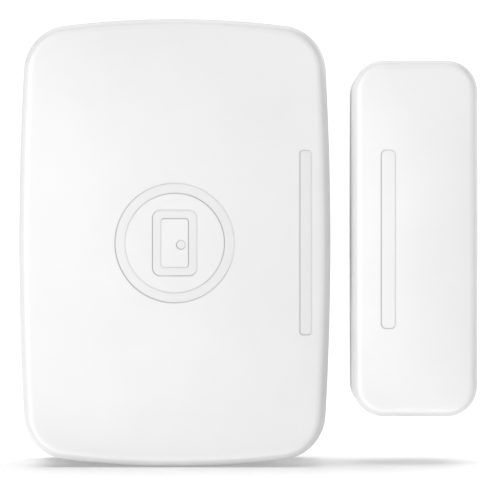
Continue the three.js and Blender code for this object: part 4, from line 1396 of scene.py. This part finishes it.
FLOOR_HALF = 3.0  # metres
FLOOR_GLOW = 0.02  # the floor's own light
ROOM_LOW = 0.12  # the room's light at the horizon
ROOM_HIGH = 0.3  # the room's light overhead
ROOM_SEEN = 1.1  # the plain white that the camera sees
LENS = 142.4  # millimetres
CAMERA_PLACE = (0.00857, -0.237, -0.00084)  # metres


def lay_floor():
    """A plain pale floor at the object's lowest point."""
    level = cad_box[0].z
    corners = [(-1, -1), (1, -1), (1, 1), (-1, 1)]
    bm = bmesh.new()
    bm.faces.new([bm.verts.new((sx * FLOOR_HALF, sy * FLOOR_HALF, level)) for sx, sy in corners])
    made = Surface("floor_paint", roughness=0.9, Specular_IOR_Level=0, Emission_Color=(1, 1, 1, 1),
                   Emission_Strength=FLOOR_GLOW)
    cloud = made.noise(400, detail=2)
    made.set("Base Color", made.mixed(made.spread(cloud, 0, 1), (0.93,) * 3, (0.95,) * 3))
    floor = paint(new_object("floor", mesh_of(bm, "floor")), made.material)
    return floor


def light(name, towards, level, spread):
    """A distant soft light that lights a white surface facing it to the given level."""
    lamp = bpy.data.lights.new(name, "SUN")
    lamp.energy = level * math.pi
    lamp.angle = math.radians(spread)
    made = new_object(name, lamp)
    made.rotation_mode = "QUATERNION"
    made.rotation_quaternion = Vector(towards).to_track_quat("Z", "Y")
    return made


def shine_through(lamp, *objects):
    """Keeps objects from shading a lamp."""
    passed = bpy.data.collections.new(f"{lamp.name}_passes")
    for obj in objects:
        passed.objects.link(obj)
    for linked in passed.collection_objects:
        linked.light_linking.link_state = "EXCLUDE"
    lamp.light_linking.blocker_collection = passed


def direction(azimuth, elevation):
    """A unit vector, azimuth 0 towards the viewer and positive to the left."""
    a, e = math.radians(azimuth), math.radians(elevation)
    return (-math.sin(a) * math.cos(e), -math.cos(a) * math.cos(e), math.sin(e))


def surround():
    """A soft room, brighter overhead. The camera sees it as plain white."""
    world = bpy.data.worlds.new("room")
    bpy.context.scene.world = world
    world.use_nodes = True
    nodes, links = world.node_tree.nodes, world.node_tree.links
    nodes.clear()
    place = nodes.new("ShaderNodeTexCoord")
    split = nodes.new("ShaderNodeSeparateXYZ")
    links.new(place.outputs["Generated"], split.inputs["Vector"])
    rise = nodes.new("ShaderNodeMapRange")
    rise.interpolation_type = "SMOOTHSTEP"
    links.new(split.outputs["Z"], rise.inputs["Value"])
    for name, value in (("From Min", 0.0), ("From Max", 1.0), ("To Min", ROOM_LOW), ("To Max", ROOM_HIGH)):
        rise.inputs[name].default_value = value
    seen = nodes.new("ShaderNodeBackground")
    lit = nodes.new("ShaderNodeBackground")
    for background in (seen, lit):
        background.inputs["Color"].default_value = (1, 1, 1, 1)
    seen.inputs["Strength"].default_value = ROOM_SEEN
    links.new(rise.outputs["Result"], lit.inputs["Strength"])
    path = nodes.new("ShaderNodeLightPath")
    either = nodes.new("ShaderNodeMixShader")
    links.new(path.outputs["Is Camera Ray"], either.inputs[0])
    links.new(lit.outputs[0], either.inputs[1])
    links.new(seen.outputs[0], either.inputs[2])
    output = nodes.new("ShaderNodeOutputWorld")
    links.new(either.outputs[0], output.inputs["Surface"])


def place_camera():
    data = bpy.data.cameras.new("camera")
    data.sensor_width = 36
    data.lens = LENS
    data.clip_start = 0.01
    made = new_object("camera", data)
    made.location = CAMERA_PLACE
    made.rotation_euler = (math.radians(90), 0, 0)
    bpy.context.scene.camera = made


place_camera()
floor = lay_floor()
surround()
key = light("key", direction(60, 6), 0.47, 8)
shine_through(key, sensor_cover)
light("rim_light", direction(-115, 10), 0.52, 60)
light("overhead", direction(180, 82), 0.83, 70)
table_light = light("table_light", direction(20, -45), 0.3, 60)
shine_through(table_light, floor)
bpy.context.scene.view_settings.view_transform = "Standard"
